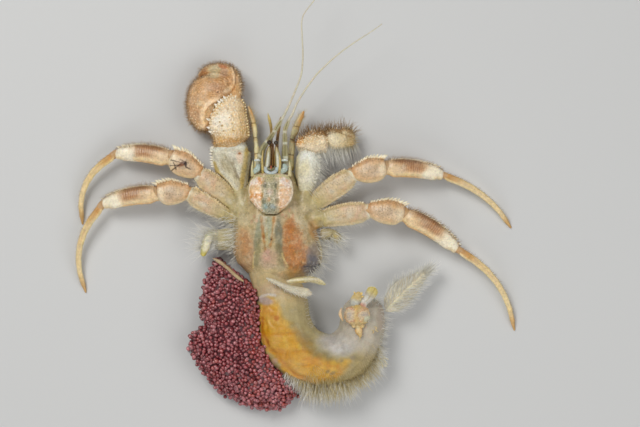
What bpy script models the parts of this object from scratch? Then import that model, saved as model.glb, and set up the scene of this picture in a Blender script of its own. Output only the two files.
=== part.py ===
"""A hermit crab out of its shell, belly down with its legs spread: one solid for each part of the body.

The head points along +Y, the crab's right is +X, and the floor that it lies on is z = 0.
The origin is on the midline, at the flat underside of the thorax.
Sizes are in millimetres for a shield that is TABLE_SHIELD long; UNIT turns them into metres.
"""

import math
from typing import NamedTuple

import bmesh
import bpy
from mathutils import Vector

SHIELD_LENGTH = 4.7  # mm, the hard front plate of the back, which drives every other size
TABLE_SHIELD = 4.7  # mm, the shield length that the sizes below are written for
UNIT = 0.001 * SHIELD_LENGTH / TABLE_SHIELD

GAP = 0.2  # clearance between neighbouring solids
LEAST_DEPTH = 0.5  # the thinnest that a feeler or a claw tip is made
FINE_STEPS = 60  # short steps that a path is measured in
NEARBY = 0.01  # share of a path over which its direction is taken
END_WIDTH = 0.35  # how wide a rounded end still is where it is cut off, as a share of the full width

SHELL = ((0.80, 0.62, 0.42), 0.45)
LIMB = ((0.85, 0.68, 0.47), 0.42)
PALE = ((0.80, 0.78, 0.66), 0.40)
FLESH = ((0.70, 0.58, 0.36), 0.35)
FEELER = ((0.72, 0.66, 0.46), 0.45)
EYE = ((0.08, 0.05, 0.03), 0.15)
EGG = ((0.42, 0.12, 0.15), 0.30)


class Piece(NamedTuple):
    """A solid that follows a path. Its lists hold values at equal steps from its root to its tip."""

    path: tuple  # places on the floor plan that a smooth line runs through
    heights: tuple  # of that line over the floor
    widths: tuple  # across, level with the floor
    depths: tuple  # from the upper face to the lower
    sides: int = 12
    rings: int = 7
    blunt: float = 0.3  # share of the half width over which the two ends are rounded off


def bowed(start, end, bow):
    """A path from start to end that stands off the straight line by bow times its length, to its left."""
    (x, y), (far_x, far_y) = start, end
    points = []
    for share in (0, 0.25, 0.5, 0.75, 1):
        off = 4 * bow * share * (1 - share)
        along_x, along_y = far_x - x, far_y - y
        points.append((x + along_x * share - along_y * off, y + along_y * share + along_x * off))
    return tuple(points)


# ---- the sizes ----------------------------------------------------------------------------------

# Stations from head to tail: place on the midline, reach to the left and to the right, height of the back.
THORAX_STATIONS = (
    (7.75, 1.1, 1.3, 3.3),
    (7.4, 2.2, 2.5, 4.0),
    (6.4, 2.7, 2.9, 4.6),
    (5.0, 3.0, 3.1, 5.0),
    (3.6, 3.5, 3.5, 5.3),
    (2.0, 4.3, 4.4, 5.7),
    (0.2, 4.7, 5.4, 5.9),
    (-1.8, 4.7, 6.0, 5.7),
    (-3.3, 4.1, 5.9, 5.3),
    (-4.4, 3.0, 4.9, 4.8),
    (-5.1, 1.9, 3.4, 4.2),
)
THORAX_SIDES = 20
BELLY_DROP = 0.6  # how far the round underside would pass the floor, which makes its flat
CARAPACE_EDGE = 2.7  # height at which the carapace ends and the underside starts

# The shield: place on the midline, half width, height of its top.
SHIELD_STATIONS = (
    (7.2, 1.3, 4.7),
    (7.0, 1.95, 4.9),
    (6.2, 2.45, 5.4),
    (5.1, 2.65, 5.8),
    (4.1, 2.4, 6.05),
    (3.2, 1.65, 6.1),
    (2.5, 0.7, 6.0),
)
SHIELD_MIDLINE = -0.05
SHIELD_DEPTH = 1.5
SHIELD_SIDES = 18

# The egg mass: place along Y, left edge, right edge, height of its top.
EGG_STATIONS = (
    (-2.7, -6.5, -5.5, 2.2),
    (-3.6, -6.9, -4.4, 3.2),
    (-5.0, -7.9, -2.6, 3.9),
    (-7.0, -8.5, -1.0, 4.4),
    (-9.2, -8.8, -0.4, 4.6),
    (-11.6, -9.5, 0.0, 4.7),
    (-13.6, -9.5, 0.8, 4.7),
    (-15.4, -8.6, 1.7, 4.5),
    (-17.0, -7.2, 2.6, 4.2),
    (-18.4, -6.2, 3.0, 3.7),
    (-19.6, -3.7, 2.3, 2.9),
    (-20.4, -1.8, 0.9, 1.8),
)
EGG_SIDES = 16
EGG_DROP = 0.5

# Walking legs: body joint, three joints on the way, and tip. Each article runs from joint to joint.
LEG_ARTICLES = ("merus", "carpus", "propodus", "dactyl")
LEG_JOINTS = {
    "leg2_left": ((-3.8, 2.8), (-8.7, 7.15), (-11.9, 8.85), (-18.3, 9.45), (-22.6, 1.25)),
    "leg3_left": ((-4.2, 1.8), (-9.9, 4.8), (-13.3, 4.7), (-19.8, 3.55), (-22.2, -6.9)),
    "leg2_right": ((4.2, 2.9), (9.75, 7.05), (13.35, 7.75), (20.0, 7.0), (28.4, 0.8)),
    "leg3_right": ((4.9, 1.7), (11.5, 2.75), (15.4, 2.25), (21.65, -1.7), (28.8, -11.4)),
}
LEG_BOWS = {  # bow of each article, towards the head
    "leg2_left": (0.04, 0.07, 0.07, 0.19),
    "leg3_left": (0.04, 0.07, 0.06, 0.17),
    "leg2_right": (0.04, 0.05, 0.06, 0.10),
    "leg3_right": (0.02, 0.06, 0.07, 0.135),
}
LEG_HEIGHTS = ((2.1, 2.8, 3.3), (3.3, 3.45, 3.2), (3.2, 2.7, 1.9), (1.9, 1.75, 1.3, 0.75, 0.06))
LEG_WIDTHS = (
    (1.5, 2.3, 2.7, 2.7, 1.9),
    (1.9, 2.7, 2.8, 2.3),
    (2.1, 2.2, 2.0, 1.5),
    (0.95, 0.85, 0.72, 0.6, 0.5),
)
LEG_DEPTHS = (
    (1.3, 1.7, 1.8, 1.7, 1.4),
    (1.4, 1.8, 1.9, 1.6),
    (1.5, 1.6, 1.4, 1.1),
    (0.85, 0.75, 0.65, 0.58, LEAST_DEPTH),
)

BIG_CLAW = {
    "merus": Piece(
        path=((-3.75, 4.3), (-4.1, 6.0), (-4.7, 7.9), (-4.8, 10.5)),
        heights=(2.2, 2.4),
        widths=(1.5, 2.5, 4.0, 4.5, 4.7),
        depths=(1.6, 2.2, 2.8, 3.2, 3.4),
        sides=14,
    ),
    "carpus": Piece(
        path=((-4.8, 10.5), (-5.1, 12.5), (-5.1, 14.4), (-4.5, 16.5)),
        heights=(2.4, 2.5),
        widths=(4.3, 4.7, 4.6, 3.9, 2.3),
        depths=(3.8, 4.6, 4.8, 4.3, 2.8),
        sides=16,
    ),
    "palm": Piece(
        path=((-7.4, 12.0), (-8.0, 13.4), (-7.7, 15.0), (-6.9, 16.6), (-6.4, 18.0), (-6.3, 19.3)),
        heights=(1.9, 2.1, 2.2),
        widths=(1.8, 4.0, 5.2, 5.6, 5.0, 3.4),
        depths=(2.4, 3.6, 4.4, 4.6, 4.2, 2.8),
        sides=16,
        rings=9,
    ),
    "finger": Piece(
        path=((-4.15, 16.5), (-3.95, 17.9), (-4.7, 19.4), (-6.2, 19.95), (-7.7, 19.4), (-8.7, 18.4)),
        heights=(2.4, 2.2, 1.9),
        widths=(1.0, 1.45, 1.6, 1.5, 1.3, 0.7),
        depths=(1.6, 2.6, 2.9, 2.6, 2.0, 0.9),
        sides=10,
        rings=11,
    ),
}

SMALL_CLAW = {
    "merus": Piece(
        path=((3.75, 4.4), (4.0, 6.2), (4.15, 8.0), (4.25, 9.8)),
        heights=(2.2, 2.4),
        widths=(1.3, 2.2, 2.8, 2.75, 2.5),
        depths=(1.4, 2.0, 2.3, 2.3, 2.0),
    ),
    "carpus": Piece(
        path=((4.25, 9.8), (4.75, 10.75), (6.25, 11.1)),
        heights=(2.4, 2.3),
        widths=(2.5, 2.9, 2.6, 2.2),
        depths=(2.1, 2.5, 2.5, 2.1),
    ),
    "palm": Piece(
        path=((6.25, 11.1), (7.2, 11.35), (8.5, 11.15), (9.85, 10.85)),
        heights=(2.3, 2.0, 1.6),
        widths=(2.1, 2.35, 1.7, 0.55),
        depths=(2.1, 2.3, 1.6, 0.6),
        sides=12,
        rings=8,
    ),
    "finger": Piece(
        path=((8.0, 12.1), (8.9, 12.0), (9.7, 11.45)),
        heights=(2.3, 2.1, 1.8),
        widths=(0.9, 1.1, 0.9, 0.5),
        depths=(1.2, 1.3, 1.0, 0.6),
        sides=10,
        rings=6,
    ),
}

HEAD_PIECES = {
    "eyestalk_left": Piece(
        path=((-0.62, 7.5), (-0.3, 10.38)),
        heights=(4.0, 4.25),
        widths=(0.8, 0.62, 0.56),
        depths=(0.8, 0.62, 0.56),
        sides=10,
        rings=5,
    ),
    "eyestalk_right": Piece(
        path=((0.76, 7.5), (0.56, 10.33)),
        heights=(4.0, 4.25),
        widths=(0.8, 0.62, 0.56),
        depths=(0.8, 0.62, 0.56),
        sides=10,
        rings=5,
    ),
    "eye_left": Piece(
        path=((-0.28, 10.55), (-0.25, 11.1)),
        heights=(4.25, 4.3),
        widths=(0.55, 0.6, 0.55),
        depths=(0.56, 0.62, 0.56),
        sides=12,
        rings=7,
        blunt=1.0,
    ),
    "eye_right": Piece(
        path=((0.55, 10.5), (0.52, 11.05)),
        heights=(4.25, 4.3),
        widths=(0.55, 0.6, 0.55),
        depths=(0.56, 0.62, 0.56),
        sides=12,
        rings=7,
        blunt=1.0,
    ),
    "antennule_left": Piece(
        path=((-0.15, 7.5), (-0.15, 9.3), (-0.12, 11.0), (-0.05, 12.4), (-0.5, 14.4)),
        heights=(2.4, 2.5, 3.0),
        widths=(0.6, 0.55, 0.5),
        depths=(0.6, 0.55, 0.5),
        sides=8,
        rings=9,
    ),
    "antennule_right": Piece(
        path=((0.6, 7.5), (0.6, 9.3), (0.6, 11.0), (0.8, 12.3), (1.05, 14.0)),
        heights=(2.4, 2.5, 3.0),
        widths=(0.6, 0.55, 0.5),
        depths=(0.6, 0.55, 0.5),
        sides=8,
        rings=9,
    ),
    "antenna_base_left": Piece(
        path=((-1.6, 7.5), (-1.35, 8.9), (-1.1, 10.1), (-0.1, 11.5), (0.65, 12.6), (1.25, 13.5)),
        heights=(3.1, 3.1, 3.15, 3.4, 4.2, 5.0),
        widths=(1.0, 0.9, 0.75, 0.62, 0.55, 0.5),
        depths=(0.9, 0.8, 0.65, 0.55, 0.5, 0.5),
        sides=8,
        rings=10,
    ),
    "antenna_base_right": Piece(
        path=((1.6, 7.5), (1.55, 8.9), (1.55, 10.2), (1.55, 11.4), (1.55, 12.3), (2.1, 13.5)),
        heights=(3.1, 3.2, 3.3, 3.7, 4.2, 4.7),
        widths=(1.0, 0.9, 0.75, 0.62, 0.55, 0.5),
        depths=(0.9, 0.8, 0.65, 0.55, 0.5, 0.5),
        sides=8,
        rings=10,
    ),
    "maxilliped_left_lower": Piece(
        path=((-1.95, 7.0), (-1.75, 9.2), (-1.9, 11.2)),
        heights=(1.7, 1.9),
        widths=(0.7, 0.75, 0.6),
        depths=(0.9, 0.9, 0.7),
        sides=10,
        rings=5,
    ),
    "maxilliped_left_upper": Piece(
        path=((-1.93, 11.4), (-2.2, 13.3), (-2.8, 15.2)),
        heights=(1.9, 2.4),
        widths=(0.6, 0.62, 0.5),
        depths=(0.7, 0.6, 0.5),
        sides=10,
        rings=6,
    ),
    "maxilliped_right_lower": Piece(
        path=((2.3, 7.0), (2.2, 9.3), (2.6, 11.4)),
        heights=(1.7, 1.9),
        widths=(0.8, 0.8, 0.65),
        depths=(0.9, 0.9, 0.7),
        sides=10,
        rings=5,
    ),
    "maxilliped_right_upper": Piece(
        path=((2.67, 11.6), (2.95, 12.9), (3.75, 14.6)),
        heights=(1.9, 2.4),
        widths=(0.75, 0.72, 0.55),
        depths=(0.7, 0.62, 0.5),
        sides=10,
        rings=6,
    ),
    "antenna_left_near": Piece(
        path=((1.37, 13.68), (2.05, 15.1), (2.85, 16.9), (3.5, 18.6), (3.72, 20.4)),
        heights=(5.1, 6.3),
        widths=(0.5, 0.5),
        depths=(0.5, 0.5),
        sides=6,
        rings=10,
    ),
    "antenna_left_far": Piece(
        path=(
            (3.74, 20.6), (3.7, 21.9), (3.5, 23.3), (3.4, 24.6), (3.9, 25.7), (4.6, 26.7), (5.4, 27.8),
            (6.1, 29.0),
        ),
        heights=(6.4, 6.6, 6.2, 5.4),
        widths=(0.5, 0.5),
        depths=(0.5, 0.5),
        sides=6,
        rings=12,
    ),
    "antenna_right_near": Piece(
        path=((2.2, 13.7), (3.15, 15.7), (4.3, 17.4), (5.3, 18.7), (6.6, 20.0)),
        heights=(4.8, 6.0),
        widths=(0.5, 0.5),
        depths=(0.5, 0.5),
        sides=6,
        rings=10,
    ),
    "antenna_right_far": Piece(
        path=((6.75, 20.13), (8.2, 21.3), (9.7, 22.35), (11.2, 23.3), (13.2, 24.75)),
        heights=(6.05, 6.2, 5.8),
        widths=(0.5, 0.5),
        depths=(0.5, 0.5),
        sides=6,
        rings=9,
    ),
}

# The two last pairs of legs are short and are held against the body.
HIND_LEGS = {
    "leg4_left": Piece(
        path=((-4.2, -0.6), (-5.8, -0.4), (-7.0, 0.0), (-7.65, -0.8), (-7.85, -2.2)),
        heights=(2.6, 3.0, 2.4),
        widths=(2.8, 2.6, 1.6, 1.0, 0.75),
        depths=(1.5, 1.4, 1.1, 0.8),
        sides=12,
        rings=10,
    ),
    "leg4_right": Piece(
        path=((5.6, 0.0), (6.8, 0.1), (7.6, -0.1), (7.65, -1.0)),
        heights=(2.2, 2.4, 2.1),
        widths=(1.6, 1.3, 0.9),
        depths=(1.2, 1.1, 0.8),
        sides=10,
        rings=8,
    ),
    "leg5_left": Piece(
        path=((-3.2, -5.4), (-4.3, -4.6), (-5.4, -3.5), (-6.9, -2.65)),
        heights=(4.5, 4.8, 4.4),
        widths=(0.6, 0.65, 0.7, 0.5),
        depths=(0.6, 0.6, 0.5),
        sides=10,
        rings=7,
    ),
    "leg5_right_upper": Piece(
        path=((1.75, -5.35), (3.2, -5.2), (4.8, -5.1), (6.3, -5.75)),
        heights=(5.7, 5.6, 5.1),
        widths=(0.6, 0.75, 0.8, 0.5),
        depths=(0.55, 0.6, 0.5),
        sides=10,
        rings=8,
    ),
    "leg5_right_lower": Piece(
        path=((-0.6, -4.95), (0.9, -5.6), (2.4, -6.25), (4.7, -6.8)),
        heights=(5.4, 5.5, 5.2),
        widths=(0.5, 0.55, 0.95, 0.8),
        depths=(0.5, 0.55, 0.7, 0.6),
        sides=10,
        rings=8,
    ),
}

ABDOMEN = Piece(
    path=(
        (-0.1, -4.2), (0.8, -6.2), (1.25, -8.3), (1.45, -10.5), (2.2, -12.6), (4.2, -14.3),
        (6.6, -14.8), (8.8, -14.0), (10.3, -12.0), (10.7, -9.7),
    ),
    heights=(2.1, 2.3, 2.5, 2.6, 2.6, 2.5, 2.4, 2.5, 2.6, 2.6),
    widths=(4.6, 5.6, 6.2, 6.6, 6.8, 6.8, 6.7, 6.4, 6.0, 5.6, 5.3),
    depths=(3.9, 4.6, 5.1, 5.4, 5.4, 5.3, 5.2, 5.3, 5.3, 5.1),
    sides=16,
    rings=6,
    blunt=0.0,
)
ABDOMEN_CUTS = (0.0, 0.25, 0.5, 0.75, 1.0)
DOME_ANGLES = (30, 55, 75)  # where the rings of the domed tail end stand on their quarter circle

TAIL_PIECES = {
    "telson": Piece(
        path=((9.9, -10.4), (10.0, -8.15)),
        heights=(5.55, 5.5),
        widths=(2.3, 2.9, 2.5),
        depths=(0.7, 0.9, 0.7),
        sides=14,
        rings=6,
        blunt=0.4,
    ),
    "telson_point": Piece(
        path=((10.0, -10.6), (10.4, -11.8)),
        heights=(5.5, 5.45),
        widths=(1.2, 0.8, 0.5),
        depths=(0.6, 0.6, 0.5),
        sides=8,
        rings=4,
    ),
    "uropod_left": Piece(
        path=((9.6, -7.95), (10.2, -6.6)),
        heights=(5.3, 5.5),
        widths=(1.3, 1.1, 0.55),
        depths=(0.55, 0.6, 0.5),
        sides=10,
        rings=5,
    ),
    "uropod_right": Piece(
        path=((10.7, -8.0), (11.15, -7.4), (12.0, -6.1)),
        heights=(5.3, 5.4, 5.7),
        widths=(0.7, 0.95, 1.1, 0.9),
        depths=(0.55, 0.6, 0.5),
        sides=10,
        rings=6,
    ),
    "pleopod_plume": Piece(
        path=((13.4, -8.9), (15.6, -6.5), (18.8, -3.9)),
        heights=(2.9, 2.6, 2.2),
        widths=(1.3, 2.5, 2.6, 2.2, 1.0),
        depths=(0.6, 0.7, 0.6, 0.5),
        sides=10,
        rings=8,
    ),
    "pleopod_small": Piece(
        path=((12.2, -13.4), (13.5, -15.6)),
        heights=(2.4, 1.8),
        widths=(0.6, 0.9, 1.4, 1.2),
        depths=(0.6, 0.7, 0.6, 0.5),
        sides=8,
        rings=5,
    ),
}


# ---- centrelines and rings ----------------------------------------------------------------------


def between(values, share):
    """The value at this share of the way along equally spaced values, on a smooth curve through them."""
    last = len(values) - 1
    place = min(max(share, 0.0), 1.0) * last
    i = min(int(place), last - 1)
    t = place - i
    a, b = values[i], values[i + 1]
    before = values[i - 1] if i > 0 else 2 * a - b
    after = values[i + 2] if i + 2 <= last else 2 * b - a
    slope_a, slope_b = (b - before) / 2, (after - a) / 2
    return (
        (2 * t**3 - 3 * t**2 + 1) * a
        + (t**3 - 2 * t**2 + t) * slope_a
        + (3 * t**2 - 2 * t**3) * b
        + (t**3 - t**2) * slope_b
    )


def fine_line(piece):
    """The piece's path in short steps of near equal length, each with its share of the whole path."""
    shares = [i / FINE_STEPS for i in range(FINE_STEPS + 1)]
    points = [Vector([between(axis, share) for axis in zip(*piece.path)]) for share in shares]
    run = [0.0]
    for near, far in zip(points, points[1:]):
        run.append(run[-1] + (far - near).length)
    return [(along / run[-1], point) for along, point in zip(run, points)]


def place(piece, line, share):
    """The point of the centreline at a share of the path. Past an end, it carries straight on."""
    i = 0
    while i < FINE_STEPS - 1 and line[i + 1][0] < share:
        i += 1
    (before, near), (after, far) = line[i], line[i + 1]
    flat = near + (far - near) * (share - before) / (after - before)
    return Vector((*flat, between(piece.heights, share)))


def centreline(piece, shares):
    """For each share of the path: the point there, and the way that the path runs."""
    line = fine_line(piece)
    found = []
    for share in shares:
        low, high = max(share - NEARBY, 0), min(share + NEARBY, 1)
        along = place(piece, line, high) - place(piece, line, low)
        found.append((place(piece, line, share), along.normalized()))
    return found


def length_of(piece):
    """Length of a piece's path on the floor plan."""
    points = [point for _, point in fine_line(piece)]
    return sum((far - near).length for near, far in zip(points, points[1:]))


def ring_shares(piece):
    """Shares of the path at which a piece has its rings: closer together where its ends are rounded."""
    even = [i / (piece.rings - 1) for i in range(piece.rings)]
    return [share + piece.blunt * (0.5 - 0.5 * math.cos(math.pi * share) - share) for share in even]


def ring(centre, along, half_width, half_depth, sides):
    """The corners of an oval cross-section, square to the way the centreline runs."""
    across = along.cross(Vector((0, 0, 1))).normalized()
    up = across.cross(along)
    turns = [2 * math.pi * (i + 0.5) / sides for i in range(sides)]
    return [centre + across * half_width * math.cos(a) + up * half_depth * math.sin(a) for a in turns]


def rounding(share, blunt, half_width, length):
    """How much narrower a section is this near to a rounded end."""
    reach = blunt * half_width / length
    near = min(share, 1 - share)
    if reach == 0 or near >= reach:
        return 1.0
    return max(math.sqrt(1 - (1 - near / reach) ** 2), END_WIDTH)


def rings_of(piece, grown=0.0, shares=None):
    """The cross-sections of a piece, each grown outwards by the same distance."""
    shares = shares or ring_shares(piece)
    middle = between(piece.widths, 0.5) / 2
    length = length_of(piece)
    rings = []
    for i, (share, (point, along)) in enumerate(zip(shares, centreline(piece, shares))):
        narrow = rounding(share, piece.blunt, middle, length)
        half_width = between(piece.widths, share) / 2 * narrow + grown
        half_depth = between(piece.depths, share) / 2 * narrow + grown
        if i in (0, len(shares) - 1):
            point += along * (grown if i else -grown)
        rings.append(ring(point, along, half_width, half_depth, piece.sides))
    return rings


# ---- solids ------------------------------------------------------------------------------------


def material(name, look):
    """One plain material for each kind of surface."""
    if name in bpy.data.materials:
        return bpy.data.materials[name]
    made = bpy.data.materials.new(name)
    made.use_nodes = True
    shader = made.node_tree.nodes["Principled BSDF"]
    colour, roughness = look
    shader.inputs["Base Color"].default_value = (*colour, 1)
    shader.inputs["Roughness"].default_value = roughness
    return made


def cut(bm, point, normal):
    """Removes what lies on the side that normal points to, and closes the cut with a flat face."""
    geometry = [*bm.verts, *bm.edges, *bm.faces]
    bmesh.ops.bisect_plane(bm, geom=geometry, dist=1e-6, plane_co=point, plane_no=normal, clear_outer=True)
    open_edges = [edge for edge in bm.edges if edge.is_boundary]
    if open_edges:
        bmesh.ops.edgenet_fill(bm, edges=open_edges)


def loft(rings):
    """A closed skin bridged from ring to ring, with a face across each end."""
    bm = bmesh.new()
    loops = []
    for corners in rings:
        verts = [bm.verts.new(corner) for corner in corners]
        loops.append([bm.edges.new(pair) for pair in zip(verts, verts[1:] + verts[:1])])
    for near, far in zip(loops, loops[1:]):
        bmesh.ops.bridge_loops(bm, edges=near + far)
    for end in (loops[0], loops[-1]):
        bmesh.ops.edgenet_fill(bm, edges=end)
    bmesh.ops.recalc_face_normals(bm, faces=bm.faces)
    return bm


def to_object(name, bm, look):
    """Turns the skin into a named object in metres, with its material."""
    bmesh.ops.scale(bm, vec=(UNIT,) * 3, verts=bm.verts)
    bmesh.ops.recalc_face_normals(bm, faces=bm.faces)
    mesh = bpy.data.meshes.new(name)
    bm.to_mesh(mesh)
    bm.free()
    mesh.shade_smooth()
    mesh.set_sharp_from_angle(angle=math.radians(50))
    mesh.materials.append(material(*look))
    made = bpy.data.objects.new(name, mesh)
    bpy.context.scene.collection.objects.link(made)
    return made


def on_floor(bm):
    """Cuts the skin off level with the floor, which gives whatever reaches it a small flat."""
    cut(bm, (0, 0, 0), (0, 0, -1))
    return bm


def solid(name, piece, look):
    """A piece as a solid that stops at the floor."""
    return to_object(name, on_floor(loft(rings_of(piece))), look)


def cutter(name, rings):
    """A helper that Booleans use: it isn't part of the crab."""
    made = to_object("cutter_" + name, loft(rings), ("cutter", SHELL))
    made.hide_render = True
    made.display_type = "WIRE"
    return made


def keep_clear(piece, *cutters):
    """Leaves the usual gap between a piece and its neighbours, whose grown copies cut it."""
    for other in cutters:
        modifier = piece.modifiers.new("Clear_" + other.name, "BOOLEAN")
        modifier.operation = "DIFFERENCE"
        modifier.solver = "EXACT"
        modifier.object = other


def room_for(name, piece):
    """The cutter that leaves room for a piece and the gap round it."""
    return cutter(name, rings_of(piece, grown=GAP))


# ---- the body -----------------------------------------------------------------------------------


def station_rings(stations, sides, drop, grown=0.0):
    """Upright oval sections from stations of (y, left, right, top). They reach drop under the floor."""
    rings = []
    last = len(stations) - 1
    for i, (y, left, right, top) in enumerate(stations):
        y += grown if i == 0 else -grown if i == last else 0.0
        centre = Vector(((left + right) / 2, y, (top - drop) / 2))
        half_width, half_depth = (right - left) / 2 + grown, (top + drop) / 2 + grown
        rings.append(ring(centre, Vector((0, -1, 0)), half_width, half_depth, sides))
    return rings


def thorax_rings(grown=0.0):
    """Cross-sections of the thorax, wider on the crab's right than on its left."""
    stations = [(y, -left, right, top) for y, left, right, top in THORAX_STATIONS]
    return station_rings(stations, THORAX_SIDES, BELLY_DROP, grown)


def shield_rings(grown=0.0):
    """Cross-sections of the lens that the shield is."""
    rings = []
    last = len(SHIELD_STATIONS) - 1
    for i, (y, half_width, top) in enumerate(SHIELD_STATIONS):
        y += grown if i == 0 else -grown if i == last else 0.0
        centre = Vector((SHIELD_MIDLINE, y, top - SHIELD_DEPTH / 2))
        half_depth = SHIELD_DEPTH / 2 * (0.6 if i in (0, last) else 1.0)
        rings.append(ring(centre, Vector((0, -1, 0)), half_width + grown, half_depth + grown, SHIELD_SIDES))
    return rings


def make_body():
    """The shield, the rest of the carapace, and the thorax under it."""
    shell = ("shell", SHELL)
    to_object("shield", loft(shield_rings()), shell)
    room = cutter("shield", shield_rings(GAP))
    for name, way in (("carapace", -1), ("thorax", 1)):
        bm = loft(thorax_rings())
        cut(bm, (0, 0, CARAPACE_EDGE - way * GAP / 2), (0, 0, way))
        keep_clear(to_object(name, on_floor(bm), shell), room)
    return cutter("thorax", thorax_rings(GAP))


def chain(limb, articles, look, thorax):
    """Articles end to end, parted by thin cuts across each joint. Returns the cutter of the first."""
    names = list(articles)
    ends = [centreline(piece, (0, 1)) for piece in articles.values()]
    for i, name in enumerate(names):
        bm = loft(rings_of(articles[name]))
        for joint, way in ((i, -1), (i + 1, 1)):
            if 0 < joint < len(names):
                across = (ends[joint - 1][1][1] + ends[joint][0][1]).normalized()
                cut(bm, ends[joint][0][0] - across * way * GAP / 2, across * way)
        made = to_object(f"{limb}_{name}", on_floor(bm), look)
        if i == 0:
            keep_clear(made, thorax)
    return room_for(f"{limb}_{names[0]}", articles[names[0]])


def make_legs(thorax):
    """The four walking legs. The hinder of each pair gives way to the one in front."""
    meri = {}
    for leg, joints in LEG_JOINTS.items():
        towards_head = 1 if leg.endswith("right") else -1
        articles = {}
        for i, name in enumerate(LEG_ARTICLES):
            path = bowed(joints[i], joints[i + 1], LEG_BOWS[leg][i] * towards_head)
            sides, rings = (8, 9) if name == "dactyl" else (10, 7)
            articles[name] = Piece(path, LEG_HEIGHTS[i], LEG_WIDTHS[i], LEG_DEPTHS[i], sides, rings)
        meri[leg] = chain(leg, articles, ("limb", LIMB), thorax)
    for side in ("left", "right"):
        keep_clear(bpy.data.objects[f"leg3_{side}_merus"], meri[f"leg2_{side}"])
    return meri


def make_claws(thorax, meri):
    """The big claw on the left and the small one on the right."""
    claws = (("left", BIG_CLAW, ("claw", SHELL)), ("right", SMALL_CLAW, ("pale_claw", PALE)))
    for side, claw, look in claws:
        limb = f"claw_{side}"
        arm = {name: claw[name] for name in claw if name not in ("palm", "finger")}
        if side == "right":
            arm["palm"] = claw["palm"]
        else:
            solid(f"{limb}_palm", claw["palm"], look)
        meri[limb] = chain(limb, arm, look, thorax)
        solid(f"{limb}_finger", claw["finger"], look)
        carpus = room_for(f"{limb}_carpus", claw["carpus"])
        finger = room_for(f"{limb}_finger", claw["finger"])
        keep_clear(bpy.data.objects[f"{limb}_palm"], finger)
        if side == "left":
            keep_clear(bpy.data.objects[f"{limb}_palm"], carpus)
            keep_clear(bpy.data.objects[f"{limb}_finger"], carpus)
        keep_clear(bpy.data.objects[f"{limb}_merus"], meri[f"leg2_{side}"])


def make_head(thorax, meri):
    """Eyes, feelers and the mouth limbs."""
    for name, piece in HEAD_PIECES.items():
        look = ("eye", EYE) if name.startswith("eye_") else ("feeler", FEELER)
        made = solid(name, piece, look)
        if not name.startswith("eye_") and not name.endswith(("near", "far", "upper")):
            keep_clear(made, thorax)
        if name.startswith("maxilliped"):
            keep_clear(made, meri["claw_left" if "left" in name else "claw_right"])


def make_hind_legs(thorax, meri):
    """The fourth and fifth legs."""
    for name, piece in HIND_LEGS.items():
        made = solid(name, piece, ("pale_limb", PALE))
        keep_clear(made, thorax)
        if name.startswith("leg4"):
            keep_clear(made, meri[name.replace("leg4", "leg3")])


def make_abdomen(thorax):
    """The soft abdomen in four lengths. Returns the cutters that its neighbours give way to."""
    cutters = []
    for i, (start, end) in enumerate(zip(ABDOMEN_CUTS, ABDOMEN_CUTS[1:])):
        made = to_object(f"abdomen_{i + 1}", on_floor(loft(abdomen_rings(start, end))), ("flesh", FLESH))
        if i == 0:
            keep_clear(made, thorax)
        cutters.append(cutter(f"abdomen_{i + 1}", abdomen_rings(start, end, GAP)))
    return cutters


def abdomen_rings(start, end, grown=0.0):
    """The rings of one length of the abdomen, half a gap short at each cut. The last ends in a dome."""
    last = ABDOMEN.rings - 1
    shares = [start + (end - start) * i / last for i in range(ABDOMEN.rings)]
    rings = rings_of(ABDOMEN, grown, shares)
    runs = [along for _, along in centreline(ABDOMEN, shares)]
    if start > 0:
        rings[0] = [corner + runs[0] * GAP / 2 for corner in rings[0]]
    if end < 1:
        rings[last] = [corner - runs[last] * GAP / 2 for corner in rings[last]]
        return rings
    centre = sum(rings[last], Vector()) / ABDOMEN.sides
    for angle in DOME_ANGLES:
        size = math.cos(math.radians(angle))
        step = math.sin(math.radians(angle)) * ABDOMEN.widths[-1] / 2
        rings.append([centre + runs[last] * step + (corner - centre) * size for corner in rings[last]])
    return rings


def make_tail(abdomen):
    """Telson, uropods and the two pleopods that stand out from the abdomen."""
    for name, piece in TAIL_PIECES.items():
        look = ("pleopod", PALE) if name.startswith("pleopod") else ("tail", SHELL)
        keep_clear(solid(name, piece, look), *abdomen[2:])


def make_eggs(thorax, abdomen):
    """The mass of eggs that the crab carries on the left of its abdomen."""
    rings = station_rings(EGG_STATIONS, EGG_SIDES, EGG_DROP)
    eggs = to_object("egg_mass", on_floor(loft(rings)), ("eggs", EGG))
    keep_clear(eggs, thorax, *abdomen[:3], room_for("leg5_left", HIND_LEGS["leg5_left"]))


def main():
    """Clears the scene and makes the crab."""
    for old in list(bpy.data.objects):
        bpy.data.objects.remove(old)
    thorax = make_body()
    meri = make_legs(thorax)
    make_claws(thorax, meri)
    make_head(thorax, meri)
    make_hind_legs(thorax, meri)
    abdomen = make_abdomen(thorax)
    make_tail(abdomen)
    make_eggs(thorax, abdomen)


main()
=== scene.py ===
"""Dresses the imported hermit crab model: skins, spines, hairs, eggs, floor, light and camera."""
import math

import bmesh
import bpy
import numpy as np
from bpy.props import FloatProperty, FloatVectorProperty, PointerProperty
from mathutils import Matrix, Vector, kdtree


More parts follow.
